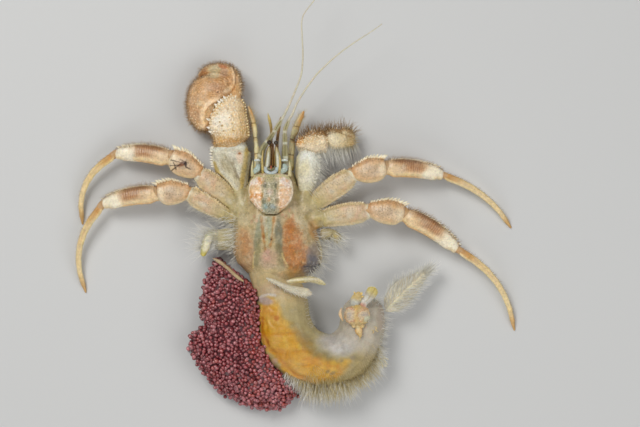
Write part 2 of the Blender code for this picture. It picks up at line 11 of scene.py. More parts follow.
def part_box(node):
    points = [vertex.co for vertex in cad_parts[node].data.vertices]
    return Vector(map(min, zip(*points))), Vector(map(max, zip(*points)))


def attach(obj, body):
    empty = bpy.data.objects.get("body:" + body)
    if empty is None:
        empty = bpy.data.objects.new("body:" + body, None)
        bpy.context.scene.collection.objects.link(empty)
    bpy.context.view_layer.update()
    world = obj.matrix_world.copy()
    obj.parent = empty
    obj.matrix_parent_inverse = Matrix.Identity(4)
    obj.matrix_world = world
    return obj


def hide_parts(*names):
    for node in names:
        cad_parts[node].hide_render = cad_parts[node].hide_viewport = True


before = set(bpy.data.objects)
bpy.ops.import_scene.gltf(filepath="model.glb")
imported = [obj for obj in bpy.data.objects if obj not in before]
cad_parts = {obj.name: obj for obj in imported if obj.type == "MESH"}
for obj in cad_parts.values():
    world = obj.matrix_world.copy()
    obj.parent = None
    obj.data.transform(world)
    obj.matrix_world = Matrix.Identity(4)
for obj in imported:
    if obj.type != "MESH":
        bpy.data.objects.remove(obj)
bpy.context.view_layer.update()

bl_info = {
    "name": "Hermit Crab Model",
    "version": (1, 0, 0),
    "blender": (4, 5, 0),
    "location": "View3D > Sidebar > Hermit Crab",
    "description": "Makes the skins, hairs, eggs and stage of a life-size hermit crab model",
    "category": "Object",
}

MM = 0.001
UP = np.array([0.0, 0.0, 1.0])
COAT_UV = "OFBake"
UV_CELLS = 8  # cells along each side of the coat's unwrap
UV_PATCH = 0.003  # size of one hair's patch on the unwrap
TINY = 1e-9  # the least length that is divided by

SIDES = {"left": 1, "right": -1}
LEGS = {"leg2_left": 1, "leg3_left": 1, "leg2_right": -1, "leg3_right": -1}  # and their sides


# ---- numbers

def linear(colour):
    """Scene-linear values of a screen colour in parts of 255."""
    colour = np.clip(colour, 0, 255) / 255
    return np.where(colour <= 0.04045, colour / 12.92, ((colour + 0.055) / 1.055) ** 2.4)


def tone(prop):
    """A user's colour in parts of 255."""
    return 255 * np.array(prop)


def unit(rows):
    """Each row at length 1."""
    return rows / np.maximum(np.linalg.norm(rows, axis=-1, keepdims=True), TINY)


def ramp(value, low, high):
    """0 below low and 1 above high, with a smooth rise between; high may be the smaller."""
    share = np.clip((value - low) / (high - low), 0, 1)
    return share * share * (3 - 2 * share)


STIRS = np.array([73856093, 19349663, 83492791])  # large primes that stir a cell's place into its value
LAST_STIR = 1274126177


def noise(points, size, seed=0):
    """Smooth noise from -1 to 1 at each point, in lumps of about this size."""
    spot = points / size + np.array([17.3, 5.1, 9.7]) * (seed + 1)
    cell = np.floor(spot).astype(np.int64)
    part = spot - cell
    part = part * part * (3 - 2 * part)
    total = np.zeros(len(points))
    for corner in np.ndindex(2, 2, 2):
        mix = np.bitwise_xor.reduce((cell + corner) * STIRS, axis=1)
        mix = (mix ^ (mix >> 13)) * LAST_STIR & 0xFFFFFFFF
        mix = (mix ^ (mix >> 16)) & 0xFFFF
        weight = np.prod(np.where(corner, part, 1 - part), axis=1)
        total += weight * (mix / 32767.5 - 1)
    return total


def lumps(points, size, seed=0):
    """Noise with finer noise on it."""
    return 0.65 * noise(points, size, seed) + 0.35 * noise(points, size * 0.45, seed + 50)


def line_distance(points, line):
    """Distance in plan from each point to a line of places, and how far along the line it is."""
    line = np.asarray(line, float)
    best = np.full(len(points), np.inf)
    along = np.zeros(len(points))
    steps = np.linalg.norm(np.diff(line, axis=0), axis=1)
    done, total = 0.0, steps.sum()
    for start, end, step in zip(line[:-1], line[1:], steps):
        way = (end - start) / step
        share = np.clip((points[:, :2] - start) @ way, 0, step)
        gap = np.linalg.norm(points[:, :2] - start - share[:, None] * way, axis=1)
        near = gap < best
        best[near] = gap[near]
        along[near] = ((done + share) / total)[near]
        done += step
    return best, along


def curve_through(places, count):
    """Points evenly spaced on a smooth curve through the places."""
    places = np.asarray(places, float)
    before = np.vstack([2 * places[0] - places[1], places, 2 * places[-1] - places[-2]])
    fine = []
    for a, b, c, d in zip(before[:-3], before[1:-2], before[2:-1], before[3:]):
        u = np.linspace(0, 1, 12, endpoint=False)[:, None]
        fine.append(0.5 * (2 * b + (c - a) * u + (2 * a - 5 * b + 4 * c - d) * u**2
                           + (3 * b - a - 3 * c + d) * u**3))
    fine = np.vstack(fine + [places[-1:]])
    far = np.r_[0, np.cumsum(np.linalg.norm(np.diff(fine, axis=0), axis=1))]
    wanted = np.linspace(0, far[-1], count)
    return np.stack([np.interp(wanted, far, fine[:, i]) for i in range(fine.shape[1])], axis=1)


LEAST_HALF = 0.05  # mm, the thinnest half width that shares are taken of
FARTHEST = 1.3  # the largest share across or up
END_REACH = 0.7  # mm, how much of each end is made fuller


class Course:
    """The line down the middle of a long piece, with its half width and half depth along it."""

    def __init__(self, points, start, turn=1, steps=26):
        flat = points[:, :2]
        self.middle = flat.mean(0)
        long_way = np.linalg.svd(flat[::3] - self.middle, full_matrices=False)[2][0]
        if (np.asarray(start)[:2] - self.middle) @ long_way > 0:
            long_way = -long_way
        self.aim = np.array([long_way[0], long_way[1], 0.0])
        self.side = turn * np.array([long_way[1], -long_way[0], 0.0])
        along = (flat - self.middle) @ self.aim[:2]
        across = (flat - self.middle) @ self.side[:2]
        self.low, self.span = along.min(), np.ptp(along)
        cells = np.clip(((along - self.low) / self.span * steps).astype(int), 0, steps - 1)
        rows = []
        for cell in range(steps):
            here = cells == cell
            if here.sum() < 3:
                continue
            wide, high = across[here], points[here, 2]
            rows.append(((cell + 0.5) / steps, (wide.max() + wide.min()) / 2, np.ptp(wide) / 2,
                         (high.max() + high.min()) / 2, np.ptp(high) / 2))
        self.rows = np.array(rows)

    def section(self, s):
        """Sideways middle, half width, level and half depth this far along."""
        return [np.interp(s, self.rows[:, 0], self.rows[:, i]) for i in (1, 2, 3, 4)]

    def shares(self, points):
        """How far along (0 to 1), across (-1 to 1) and up (-1 to 1) each point is."""
        s = self.along(points)
        mid, half, level, deep = self.section(s)
        t = ((points[:, :2] - self.middle) @ self.side[:2] - mid) / np.maximum(half, LEAST_HALF)
        h = (points[:, 2] - level) / np.maximum(deep, LEAST_HALF)
        return s, np.clip(t, -FARTHEST, FARTHEST), np.clip(h, -FARTHEST, FARTHEST)

    def place(self, s, t=0.0, h=0.0):
        """The point this far along, across and up."""
        mid, half, level, deep = self.section(s)
        flat = self.middle + (self.low + s * self.span) * self.aim[:2] + (mid + t * half) * self.side[:2]
        return np.array([flat[0], flat[1], level + h * deep])

    def along(self, points):
        """How far along each point is."""
        return ((points[:, :2] - self.middle) @ self.aim[:2] - self.low) / self.span

    def scaled(self, points, wide, deep=None):
        """Points with their distance across and up from the middle line made this many times larger."""
        mid, _, level, _ = self.section(self.along(points))
        across = (points[:, :2] - self.middle) @ self.side[:2] - mid
        deep = wide if deep is None else deep
        return (points + ((wide - 1) * across)[:, None] * self.side
                + ((deep - 1) * (points[:, 2] - level))[:, None] * UP)

    def squared(self, points, before, after, widen=0.3):
        """Points drawn out along the piece by before and after, with its ends made fuller."""
        s = self.along(points)
        reach = END_REACH / self.span
        near = widen * ((before > 0) * ramp(s, reach, 0) + (after > 0) * ramp(s, 1 - reach, 1))
        shift = after * ramp(s, 0.75, 1) - before * ramp(s, 0.25, 0)
        return self.scaled(points, 1 + near) + shift[:, None] * self.aim

    def half(self, s):
        """Half width and half depth this far along."""
        return np.array(self.section(s))[[1, 3]]


# ---- shapes

def put(name, data):
    """A new object in the scene."""
    obj = bpy.data.objects.new(name, data)
    bpy.context.scene.collection.objects.link(obj)
    return obj


def read(rows, key, width=1, kind=np.float32):
    """One value, width numbers wide, of every row of a mesh."""
    values = np.empty(len(rows) * width, kind)
    rows.foreach_get(key, values)
    return values


def cloud(node):
    """Corners of a CAD node in millimetres."""
    return np.array([v.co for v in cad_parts[node].data.vertices]) / MM


class Shape:
    """Points in millimetres, faces, and each point's colour, speckle and place on the unwrap."""

    def __init__(self, points, faces, tint=None, speckle=None, unwrap=None):
        self.points = np.asarray(points, float)
        self.faces = [np.asarray(f, np.int32) for f in faces if len(f)]
        count = len(self.points)
        self.tint = np.full((count, 3), 128.0) if tint is None else np.array(tint, float)
        if self.tint.ndim == 1:
            self.tint = np.tile(self.tint, (count, 1))
        self.speckle = np.zeros(count) if speckle is None else np.asarray(speckle, float)
        self.unwrap = np.zeros((count, 2)) if unwrap is None else np.asarray(unwrap, float)

    def lay(self, colour, share, *ramps):
        """Mixes a colour in by each point's share, times a ramp for each set of values, low and high."""
        for values, low, high in ramps:
            share = share * ramp(values, low, high)
        share = np.clip(np.broadcast_to(share, len(self.points)), 0, 1)
        self.tint += (np.asarray(colour) - self.tint) * share[:, None]

    @property
    def x(self):
        return self.points[:, 0]

    @property
    def y(self):
        return self.points[:, 1]

    def fade(self, root, tip, share):
        """Colours it from root to tip by each point's share."""
        root, tip = np.asarray(root, float), np.asarray(tip, float)
        self.tint = root + (tip - root) * share[:, None]

    def blotch(self, size, seed, low, high):
        """Soft blotches of about this size, from 0 to 1."""
        return ramp(lumps(self.points, size, seed), low, high)

    def dapple(self, size, seed, low, high):
        """Rounder spots of about this size, from 0 to 1."""
        return ramp(noise(self.points, size, seed), low, high)

    def veins(self, size, seed, low, high):
        """Thin winding lines about this far apart, from 0 to 1."""
        return ramp(np.abs(noise(self.points, size, seed)), low, high)

    def deepen(self, factors):
        """Deepens every colour, channel by channel."""
        self.tint *= factors

    def patch(self, colour, place, size, turn=0.0, share=1.0, soft=0.5, ragged=0.15, seed=3):
        """An oval patch with a soft, ragged edge, seen in plan."""
        x, y = self.points[:, 0] - place[0], self.points[:, 1] - place[1]
        c, s = math.cos(math.radians(turn)), math.sin(math.radians(turn))
        far = np.hypot((x * c + y * s) / size[0], (y * c - x * s) / size[1])
        far += ragged * lumps(self.points, 0.9, seed)
        self.lay(colour, share, (far, 1 + soft / 2, 1 - soft / 2))

    def paint(self, rows):
        """Patches and strokes in turn, each a row of what patch or stroke takes.

        A patch row has colour, middle, half sizes, turn, share, and its edge's softness and
        raggedness. A stroke row has colour, a list of places, width, share and the same two."""
        for colour, where, *rest in rows:
            (self.stroke if isinstance(where, list) else self.patch)(colour, where, *rest)

    def stroke(self, colour, line, width, share=1.0, soft=0.6, ragged=0.1, seed=5):
        """A painted line along places in plan."""
        far = line_distance(self.points, line)[0] + ragged * width * lumps(self.points, 0.5, seed)
        self.lay(colour, share, (far, width / 2 * (1 + soft), width / 2 * (1 - soft)))


def joined(shapes):
    """Several shapes as one."""
    starts = np.cumsum([0] + [len(s.points) for s in shapes[:-1]])
    faces = [f + start for s, start in zip(shapes, starts) for f in s.faces]
    return Shape(np.vstack([s.points for s in shapes]), faces,
                 np.vstack([s.tint for s in shapes]),
                 np.concatenate([s.speckle for s in shapes]),
                 np.vstack([s.unwrap for s in shapes]))


def piece(name, shape, material, nodes=(), coat=False):
    """One piece of the model from a shape, riding on the body and standing for these nodes."""
    mesh = bpy.data.meshes.new(name)
    mesh.vertices.add(len(shape.points))
    shape.points[:, 2] = np.maximum(shape.points[:, 2], 0)
    mesh.vertices.foreach_set("co", (shape.points * MM).ravel())
    corners = np.concatenate([f.ravel() for f in shape.faces])
    sizes = np.concatenate([np.full(len(f), f.shape[1]) for f in shape.faces])
    mesh.loops.add(len(corners))
    mesh.loops.foreach_set("vertex_index", corners)
    mesh.polygons.add(len(sizes))
    mesh.polygons.foreach_set("loop_start", np.r_[0, np.cumsum(sizes)[:-1]])
    mesh.polygons.foreach_set("use_smooth", np.ones(len(sizes), bool))
    mesh.update(calc_edges=True)
    tint = mesh.attributes.new("tint", "FLOAT_COLOR", "POINT")
    tint.data.foreach_set("color", np.c_[linear(shape.tint), shape.speckle].astype(np.float32).ravel())
    if coat:
        layer = mesh.uv_layers.new(name=COAT_UV)
        layer.data.foreach_set("uv", shape.unwrap[corners].astype(np.float32).ravel())
    mesh.materials.append(material)
    obj = put(name, mesh)
    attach(obj, "root")
    if nodes:
        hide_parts(*nodes)
    return obj


def fine_skin(names, fineness=0.1, smoothing=8, grow=0.0, sink=0.0, extras=()):
    """One fine even skin over CAD nodes and extra shapes: points, faces and normals, in millimetres.

    Grown by grow before the pieces are made one, and drawn in by grow and sink after."""
    form = bmesh.new()
    for name in names:
        form.from_mesh(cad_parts[name].data)
    bmesh.ops.remove_doubles(form, verts=form.verts, dist=2e-6)
    bmesh.ops.scale(form, vec=(1 / MM,) * 3, verts=form.verts)
    for extra in extras:
        corners = [form.verts.new(p) for p in extra.points]
        for block in extra.faces:
            for face in block:
                form.faces.new([corners[i] for i in face])
    bmesh.ops.recalc_face_normals(form, faces=form.faces)
    mesh = bpy.data.meshes.new("form")
    form.to_mesh(mesh)
    form.free()
    obj = put("form", mesh)

    def work(kind, **values):
        modifier = obj.modifiers.new(kind, kind)
        for key, value in values.items():
            setattr(modifier, key, value)

    if grow:
        work("DISPLACE", mid_level=0.0, strength=grow)
    work("REMESH", mode="VOXEL", voxel_size=fineness)
    if smoothing:
        work("SMOOTH", factor=0.5, iterations=smoothing)
    if grow or sink:
        work("DISPLACE", mid_level=0.0, strength=-(grow + sink))
    worked = obj.evaluated_get(bpy.context.evaluated_depsgraph_get())
    result = worked.to_mesh()
    points, normals = (read(result.vertices, key, 3).reshape(-1, 3).astype(float) for key in ("co", "normal"))
    corners = read(result.loops, "vertex_index", kind=np.int32)
    if len(corners) != 4 * len(result.polygons):
        raise RuntimeError(f"the skin over {names} isn't all quads")
    worked.to_mesh_clear()
    bpy.data.objects.remove(obj)
    bpy.data.meshes.remove(mesh)
    return points, corners.reshape(-1, 4), normals


def roughen(points, normals, amount, size, seed=0):
    """Moves points in and out by noise."""
    return points + normals * (amount * lumps(points, size, seed))[:, None]


def scatter(points, wanted, gap, rng):
    """Indexes of points where wanted is true, no two nearer than the gap."""
    order = rng.permutation(np.flatnonzero(wanted))
    taken, kept = {}, []
    for i in order:
        a, b, c = cell = tuple(np.floor(points[i] / gap).astype(int))
        if not any(((points[i] - points[j]) ** 2).sum() < gap * gap for u, v, w in np.ndindex(3, 3, 3)
                   for j in taken.get((a + u - 1, b + v - 1, c + w - 1), ())):
            taken.setdefault(cell, []).append(i)
            kept.append(i)
    return np.array(kept, int)


def pimples(points, normals, picks, radius, height):
    """Raises a small rounded grain at each pick."""
    tree = kdtree.KDTree(len(picks))
    for i, pick in enumerate(picks):
        tree.insert(points[pick], i)
    tree.balance()
    far = np.array([tree.find(p)[2] for p in points])
    rise = height * np.clip(1 - (far / radius) ** 2, 0, 1)
    return points + normals * rise[:, None], rise / height


def sprouts(roots, ways, lengths, radii, sides=3, steps=3, bend=None, taper=0.8):
    """Closed tapering hairs or spines, one from each root: a shape with no colours yet.

    bend is how far each tip is drawn aside, in shares of the length."""
    roots, ways = np.asarray(roots, float), unit(np.asarray(ways, float))
    count = len(roots)
    lengths = np.broadcast_to(lengths, count).astype(float)
    radii = np.broadcast_to(radii, count).astype(float)
    bend = np.zeros((count, 3)) if bend is None else np.asarray(bend, float)
    other = np.where(np.abs(ways[:, 2:]) < 0.9, UP, np.array([1.0, 0.0, 0.0]))
    first = unit(np.cross(ways, other))
    second = np.cross(ways, first)
    turn = 2 * np.pi * np.arange(sides) / sides
    ring = first[:, None] * np.cos(turn)[:, None] + second[:, None] * np.sin(turn)[:, None]
    level = np.arange(steps) / steps
    reach = lengths[:, None, None]
    line = roots[:, None] + reach * (ways[:, None] * level[:, None] + bend[:, None] * level[:, None] ** 2)
    wide = radii[:, None] * (1 - level) ** taper
    body = line[:, :, None] + ring[:, None] * wide[:, :, None, None]
    tips = roots + lengths[:, None] * (ways + bend)
    points = np.concatenate([body.reshape(count, -1, 3), tips[:, None]], axis=1)
    size = steps * sides + 1
    k = np.arange(sides)
    quads = [np.stack([j * sides + k, j * sides + (k + 1) % sides,
                       (j + 1) * sides + (k + 1) % sides, (j + 1) * sides + k], 1)
             for j in range(steps - 1)]
    last = (steps - 1) * sides
    tris = [np.stack([last + k, last + (k + 1) % sides, np.full(sides, size - 1)], 1),
            np.stack([np.zeros(sides - 2, int), k[2:], k[1:-1]], 1)]
    offset = (np.arange(count) * size)[:, None, None]
    faces = [(np.vstack(block)[None] + offset).reshape(-1, block[0].shape[1])
             for block in (quads, tris) if block]
    shape = Shape(points.reshape(-1, 3), faces)
    shape.share = np.tile(np.r_[np.repeat(level, sides), 1.0], count)
    shape.owner = np.repeat(np.arange(count), size)
    return shape


def tube(places, radii, sides=8, flat=1.0, count=None, colour=None):
    """A closed round or flattened rod along places, drawn smoothly through them when count is given."""
    places = np.asarray(places, float)
    if count:
        old = np.linspace(0, 1, len(places))
        radii = np.interp(np.linspace(0, 1, count), old, np.broadcast_to(radii, len(places)))
        places = curve_through(places, count)
    count = len(places)
    radii = np.broadcast_to(radii, count)
    ways = unit(np.gradient(places, axis=0))
    side = unit(np.cross(ways, UP))
    high = np.cross(side, ways)
    turn = 2 * np.pi * np.arange(sides) / sides
    rings = (places[:, None] + radii[:, None, None] * (side[:, None] * np.cos(turn)[:, None]
             + flat * high[:, None] * np.sin(turn)[:, None]))
    k = np.arange(sides)
    quads = np.vstack([np.stack([j * sides + k, (j + 1) * sides + k,
                                 (j + 1) * sides + (k + 1) % sides, j * sides + (k + 1) % sides], 1)
                       for j in range(count - 1)])
    ends = [places[0] - ways[0] * radii[0] * 0.6, places[-1] + ways[-1] * radii[-1] * 0.6]
    first, last = count * sides, count * sides + 1
    tris = np.vstack([np.stack([np.full(sides, first), k, (k + 1) % sides], 1),
                      np.stack([np.full(sides, last), (count - 1) * sides + (k + 1) % sides,
                                (count - 1) * sides + k], 1)])
    shape = Shape(np.vstack([rings.reshape(-1, 3), ends]), [quads, tris], colour)
    shape.share = np.r_[np.repeat(np.linspace(0, 1, count), sides), 0, 1]
    shape.across = np.r_[np.tile(np.cos(turn), count), 0, 0]
    return shape


def balls(centres, radii, stretch, detail=2):
    """Many small rounded balls as one shape."""
    form = bmesh.new()
    bmesh.ops.create_icosphere(form, subdivisions=detail, radius=1.0)
    ball = np.array([v.co for v in form.verts])
    faces = np.array([[v.index for v in f.verts] for f in form.faces])
    form.free()
    points = centres[:, None] + ball[None] * (radii[:, None] * stretch)[:, None]
    offset = (np.arange(len(centres)) * len(ball))[:, None, None]
    shape = Shape(points.reshape(-1, 3), [(faces[None] + offset).reshape(-1, 3)])
    shape.owner = np.repeat(np.arange(len(centres)), len(ball))
    shape.ball = np.tile(ball, (len(centres), 1))
    return shape


class Skin(Shape):
    """A fine skin over CAD nodes: its normals, its course, and the shares along, across and up it."""

    def __init__(self, nodes, colour, start, turn=1, fineness=0.08, calm=10, grow=0.0, sink=0.0,
                 rough=0.03, lump=0.35, seed=0, ends=None, extras=(), cell=0):
        points, faces, self.normals = fine_skin(nodes, fineness, calm, grow, sink, extras)
        self.course = Course(points, start, turn)
        if ends:
            points = self.course.squared(points, *ends)
            self.course = Course(points, start, turn)
        super().__init__(roughen(points, self.normals, rough, lump, seed), [faces], colour)
        self.nodes, self.cell = nodes, cell
        self.measure()
        SKINS[nodes[0]] = self

    def measure(self):
        self.s, self.t, self.h = self.course.shares(self.points)
        around = (np.arctan2(self.h, self.t) / (2 * np.pi)) % 1
        self.unwrap = cell_unwrap(self.cell, self.s, around)

    @property
    def tilt(self):
        return self.normals[:, 2]

    def up(self, low=0.0, high=0.5):
        """1 where the skin faces up."""
        return ramp(self.tilt, low, high)

    def push(self, amount):
        """Moves the skin out by this much at each point."""
        self.points += self.normals * np.broadcast_to(amount, len(self.points))[:, None]

    def crease(self, line, width, height):
        """Raises the upper skin along a line in plan, or lowers it for a negative height."""
        far = line_distance(self.points, line)[0]
        self.push(height * np.exp(-((far / (width / 2)) ** 2)) * self.up(0, 0.4))

    def grains(self, wanted, gap, radius, height, colour, rng, share=0.6):
        """Raises small grains on part of the skin, and tints their tops."""
        picks = scatter(self.points, wanted, gap, rng)
        self.points, rise = pimples(self.points, self.normals, picks, radius, height)
        self.lay(colour, share * rise)

    def near(self, places, edge=False):
        """Indexes of upper or edge points nearest to places in plan."""
        cost = (0.5 * np.abs(self.tilt - 0.25) if edge
                else 0.6 * ramp(self.tilt, 0.1, -0.3) - 0.08 * self.points[:, 2])
        flat = self.points[:, :2]
        return np.array([int(np.argmin(np.hypot(*(flat - p).T) + cost)) for p in np.asarray(places)])

    def margin(self, shares, level=0.25, side=1, spread=0.25):
        """Indexes of the points on a margin nearest each share of the length."""
        cost = np.abs(self.h - level) * spread + np.maximum(0, 1.0 - side * self.t)
        return np.array([int(np.argmin(np.abs(self.s - share) + cost)) for share in shares])

    def cones(self, picks, lengths, radii, colour, root_colour, lean=(0, 0, 0), sides=8):
        """Blunt pointed cones standing on the skin."""
        ways = self.normals[picks] + np.asarray(lean)
        shape = sprouts(self.points[picks] - self.normals[picks] * ROOT, ways, lengths, radii, sides, 4,
                        taper=0.75)
        shape.fade(root_colour, colour, ramp(shape.share, 0, 0.4))
        return shape

    def make(self, name, material, slot, extras=()):
        """Makes the skin's piece, with the extra shapes on it."""
        return piece(name, joined([self, *extras]), MATERIALS[material], self.nodes)


SKINS = {}  # finished skins by their first node, for the hairs that grow on them
ROOT = 0.06  # mm, how deep in the skin a hair or spine starts
DYE = 10  # how far hairs differ in colour from each other, in parts of 255


class Coat:
    """Gathers hairs, each with a patch at its root's place on the skin's unwrap."""

    def __init__(self, seed):
        self.rng = np.random.default_rng(seed)
        self.sets = []

    def add(self, skin, wanted, gap, size, radius, colour, tip, lean=(0, 0, 0), own=1.0, aim=0.0,
            bend=0.15, droop=0.0, steps=4, spread=0.25):
        """Hairs on part of a skin: their way is its normal times own, plus lean and the skin's aim."""
        rng = self.rng
        picks = scatter(skin.points, wanted, gap, rng)
        if not len(picks):
            return
        count, sides, roots = len(picks), 3, skin.points[picks]
        forward = 0 if skin.course is None else aim * skin.course.aim
        ways = unit(own * skin.normals[picks] + np.asarray(lean) + forward)
        ways = unit(ways + spread * rng.normal(size=(count, 3)))
        ways[:, 2] = np.maximum(ways[:, 2], -0.25)
        way_bend = bend * rng.normal(size=(count, 3)) + np.array([0, 0, -droop])
        size = np.broadcast_to(size, len(skin.points))[picks]
        lengths = size * rng.uniform(0.7, 1.15, count)
        lengths = lengths * np.minimum(1, np.maximum(roots[:, 2] - 0.1, 0.02)
                                       / np.maximum(-(ways[:, 2] + way_bend[:, 2]) * lengths, 0.02))
        hairs = sprouts(roots - ways * ROOT, ways, lengths, radius, sides, steps, way_bend)
        hairs.fade(colour, tip, hairs.share)
        hairs.tint += rng.normal(0, DYE, (count, 1))[hairs.owner]
        around = np.tile(np.r_[np.tile(np.arange(sides) / sides, steps), 0.5], count)
        hairs.unwrap = (skin.unwrap[picks][hairs.owner]
                        + UV_PATCH * (np.c_[around, hairs.share] - 0.5))
        self.sets.append(hairs)

    def finish(self, name):
        """Makes the coat's piece."""
        return piece(name, joined(self.sets), MATERIALS["hair"], coat=True)


def cell_unwrap(cell, along, around):
    """Places on one cell of the coat's unwrap."""
    u = (cell % UV_CELLS + 0.05 + 0.9 * np.clip(along, 0, 1)) / UV_CELLS
    v = (cell // UV_CELLS + 0.05 + 0.9 * np.clip(around, 0, 1)) / UV_CELLS
    return np.stack([u, v], 1)


# ---- finishes

MATERIALS = {}
GRAIN_SIZE = 0.2  # mm, the fine mottling that every skin shows
NOISE_RANGE = (0.3, 0.7)  # where most of a noise pattern's values lie
DOT_RANGE = (0.12, 0.34)  # a speckle's dark middle and its edge, in shares of its cell


def finish_material(name, roughness, rough_range, mottle, mottle_size, bump, bump_size, scatter_weight, coat,
                    speckle=(0.16, 0.09, 0.05), speckle_size=0.12, scatter_colour=(1.0, 0.55, 0.3),
                    distance=0.03):
    """A living surface: the painted tint, mottled and speckled, with fine bump and uneven gloss."""
    material = bpy.data.materials.new(name)
    material.use_nodes = True
    nodes, links = material.node_tree.nodes, material.node_tree.links
    nodes.clear()

    def add(kind, inputs=None, **settings):
        """A node with its settings, and each input linked to a socket or set to a value."""
        node = nodes.new("ShaderNode" + kind)
        for key, value in settings.items():
            setattr(node, key, value)
        for key, value in (inputs or {}).items():
            if isinstance(value, bpy.types.NodeSocket):
                links.new(value, node.inputs[key])
            else:
                node.inputs[key].default_value = value
        return node

    def pattern(size, detail=3.0, rough=0.55):
        return add("TexNoise", {"Vector": place, "Scale": 1 / (size * MM), "Detail": detail,
                                "Roughness": rough}).outputs["Fac"]

    def spread(source, low, high, new_low, new_high):
        return add("MapRange", {"Value": source, "From Min": low, "From Max": high,
                                "To Min": new_low, "To Max": new_high}).outputs["Result"]

    def swing(source, middle, reach):
        return spread(source, *NOISE_RANGE, middle - reach, middle + reach)

    place = add("TexCoord").outputs["Object"]
    tint = add("Attribute", attribute_name="tint").outputs
    broad = pattern(mottle_size)
    value = add("Math", {0: swing(broad, 1, mottle), 1: swing(pattern(GRAIN_SIZE, 2.0, 0.6), 0, mottle)},
                operation="ADD")
    shade = add("HueSaturation", {"Color": tint["Color"], "Value": value.outputs[0],
                                  "Saturation": swing(pattern(mottle_size * 2.3), 1, -0.7 * mottle)})
    dots = add("TexVoronoi", {"Vector": place, "Scale": 1 / (speckle_size * MM)}).outputs["Distance"]
    amount = add("Math", {0: spread(dots, *DOT_RANGE, 1.0, 0.0), 1: tint["Alpha"]}, operation="MULTIPLY")
    mix = add("Mix", {"Factor": amount.outputs[0]}, data_type="RGBA")
    links.new(shade.outputs["Color"], mix.inputs[6])
    mix.inputs[7].default_value = (*speckle, 1)
    relief = add("Bump", {"Strength": bump, "Distance": distance * MM,
                          "Height": pattern(bump_size, 4.0, 0.6)})
    shader = add("BsdfPrincipled", {
        "Base Color": mix.outputs[2], "Roughness": swing(broad, roughness, rough_range),
        "Normal": relief.outputs["Normal"], "Subsurface Weight": scatter_weight,
        "Subsurface Radius": scatter_colour, "Subsurface Scale": 0.35 * MM, "Coat Weight": coat,
        "Coat Roughness": 0.22})
    add("OutputMaterial", {"Surface": shader.outputs[0]})
    MATERIALS[name] = material


def make_finishes():
    """All the finishes of the model."""
    finish_material("limb_shell", 0.40, 0.10, 0.14, 0.5, 0.6, 0.14, 0.12, 0.2, speckle_size=0.25)
    finish_material("claw_shell", 0.48, 0.12, 0.17, 0.45, 0.8, 0.16, 0.10, 0.1, speckle_size=0.25)
    finish_material("shield_shell", 0.34, 0.10, 0.12, 0.4, 0.5, 0.14, 0.15, 0.3,
                    speckle=(0.10, 0.11, 0.06), speckle_size=0.24)
    finish_material("body_skin", 0.42, 0.10, 0.13, 0.6, 0.6, 0.2, 0.2, 0.14,
                    speckle=(0.14, 0.11, 0.05), speckle_size=0.26)
    finish_material("soft_skin", 0.44, 0.08, 0.09, 0.9, 0.4, 0.25, 0.30, 0.06,
                    speckle=(0.30, 0.28, 0.24), speckle_size=0.3)
    finish_material("feeler", 0.42, 0.08, 0.10, 0.3, 0.4, 0.1, 0.20, 0.15)
    finish_material("hair", 0.45, 0.05, 0.05, 0.8, 0.1, 0.2, 0.0, 0.0)
    finish_material("egg", 0.24, 0.06, 0.12, 0.25, 0.25, 0.12, 0.35, 0.5,
                    scatter_colour=(1.0, 0.35, 0.4), speckle=(0.30, 0.06, 0.10), speckle_size=0.2)
    finish_material("eye", 0.22, 0.04, 0.20, 0.12, 0.3, 0.05, 0.0, 0.3, distance=0.01)


# ---- sizes and colours

def colour_prop(label, words, value):
    return FloatVectorProperty(name=label, description=words, subtype="COLOR_GAMMA", size=3,
                               min=0.0, max=1.0, default=tuple(c / 255 for c in value))


def length_prop(label, words, value):
    return FloatProperty(name=label, description=words, unit="LENGTH", subtype="DISTANCE",
                         min=0.0, default=value * MM, precision=6)


class CRAB_PG_limbs(bpy.types.PropertyGroup):
    """Colours and sizes of the walking legs and claws"""

    cream: colour_prop("Cream", "The pale far end of each propodus", (250, 240, 216))
    peach: colour_prop("Peach", "The ground colour of the legs", (224, 194, 156))
    band: colour_prop("Band", "The brown marks of each propodus", (152, 96, 56))
    amber: colour_prop("Amber", "The base and tip of each dactyl", (190, 132, 60))
    claw: colour_prop("Claw", "The ground colour of the big claw", (208, 170, 124))
    spine: length_prop("Spine", "Length of the largest carpus spines", 0.8)
    hair: length_prop("Hair", "Length of the hairs along the front margins", 0.75)


class CRAB_PG_body(bpy.types.PropertyGroup):
    """Colours of the carapace, abdomen and eggs"""

    carapace: colour_prop("Carapace", "The ground colour of the carapace", (192, 174, 134))
    liver: colour_prop("Liver", "The orange-brown organ seen through the carapace", (194, 128, 70))
    ovary: colour_prop("Ovary", "The yellow organ seen through the abdomen", (232, 180, 72))
    flesh: colour_prop("Flesh", "The grey-green flesh of the abdomen", (192, 177, 126))
    egg: colour_prop("Egg", "The wine red of the eggs", (122, 47, 52))
    egg_width: length_prop("Egg width", "Width of one egg", 0.47)


class CRAB_PG_stage(bpy.types.PropertyGroup):
    """Floor, lights and camera"""

    floor: colour_prop("Floor", "Colour of the floor", (211, 213, 216))
    key: FloatProperty(name="Key light", description="Strength of the large light",
                       unit="POWER", min=0.0, default=0.295)
    lens: FloatProperty(name="Lens", description="Focal length of the camera in millimetres",
                        min=10.0, default=100.0)


def looks():
    scene = bpy.context.scene
    return scene.crab_limbs, scene.crab_body, scene.crab_stage


def spot(name):
    """Middle of a node in millimetres."""
    low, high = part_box(name)
    return (np.array(low) + np.array(high)) / 2 / MM


# ---- walking legs

SOCKETS = []  # the limb bases, which the trunk's skin grows out over


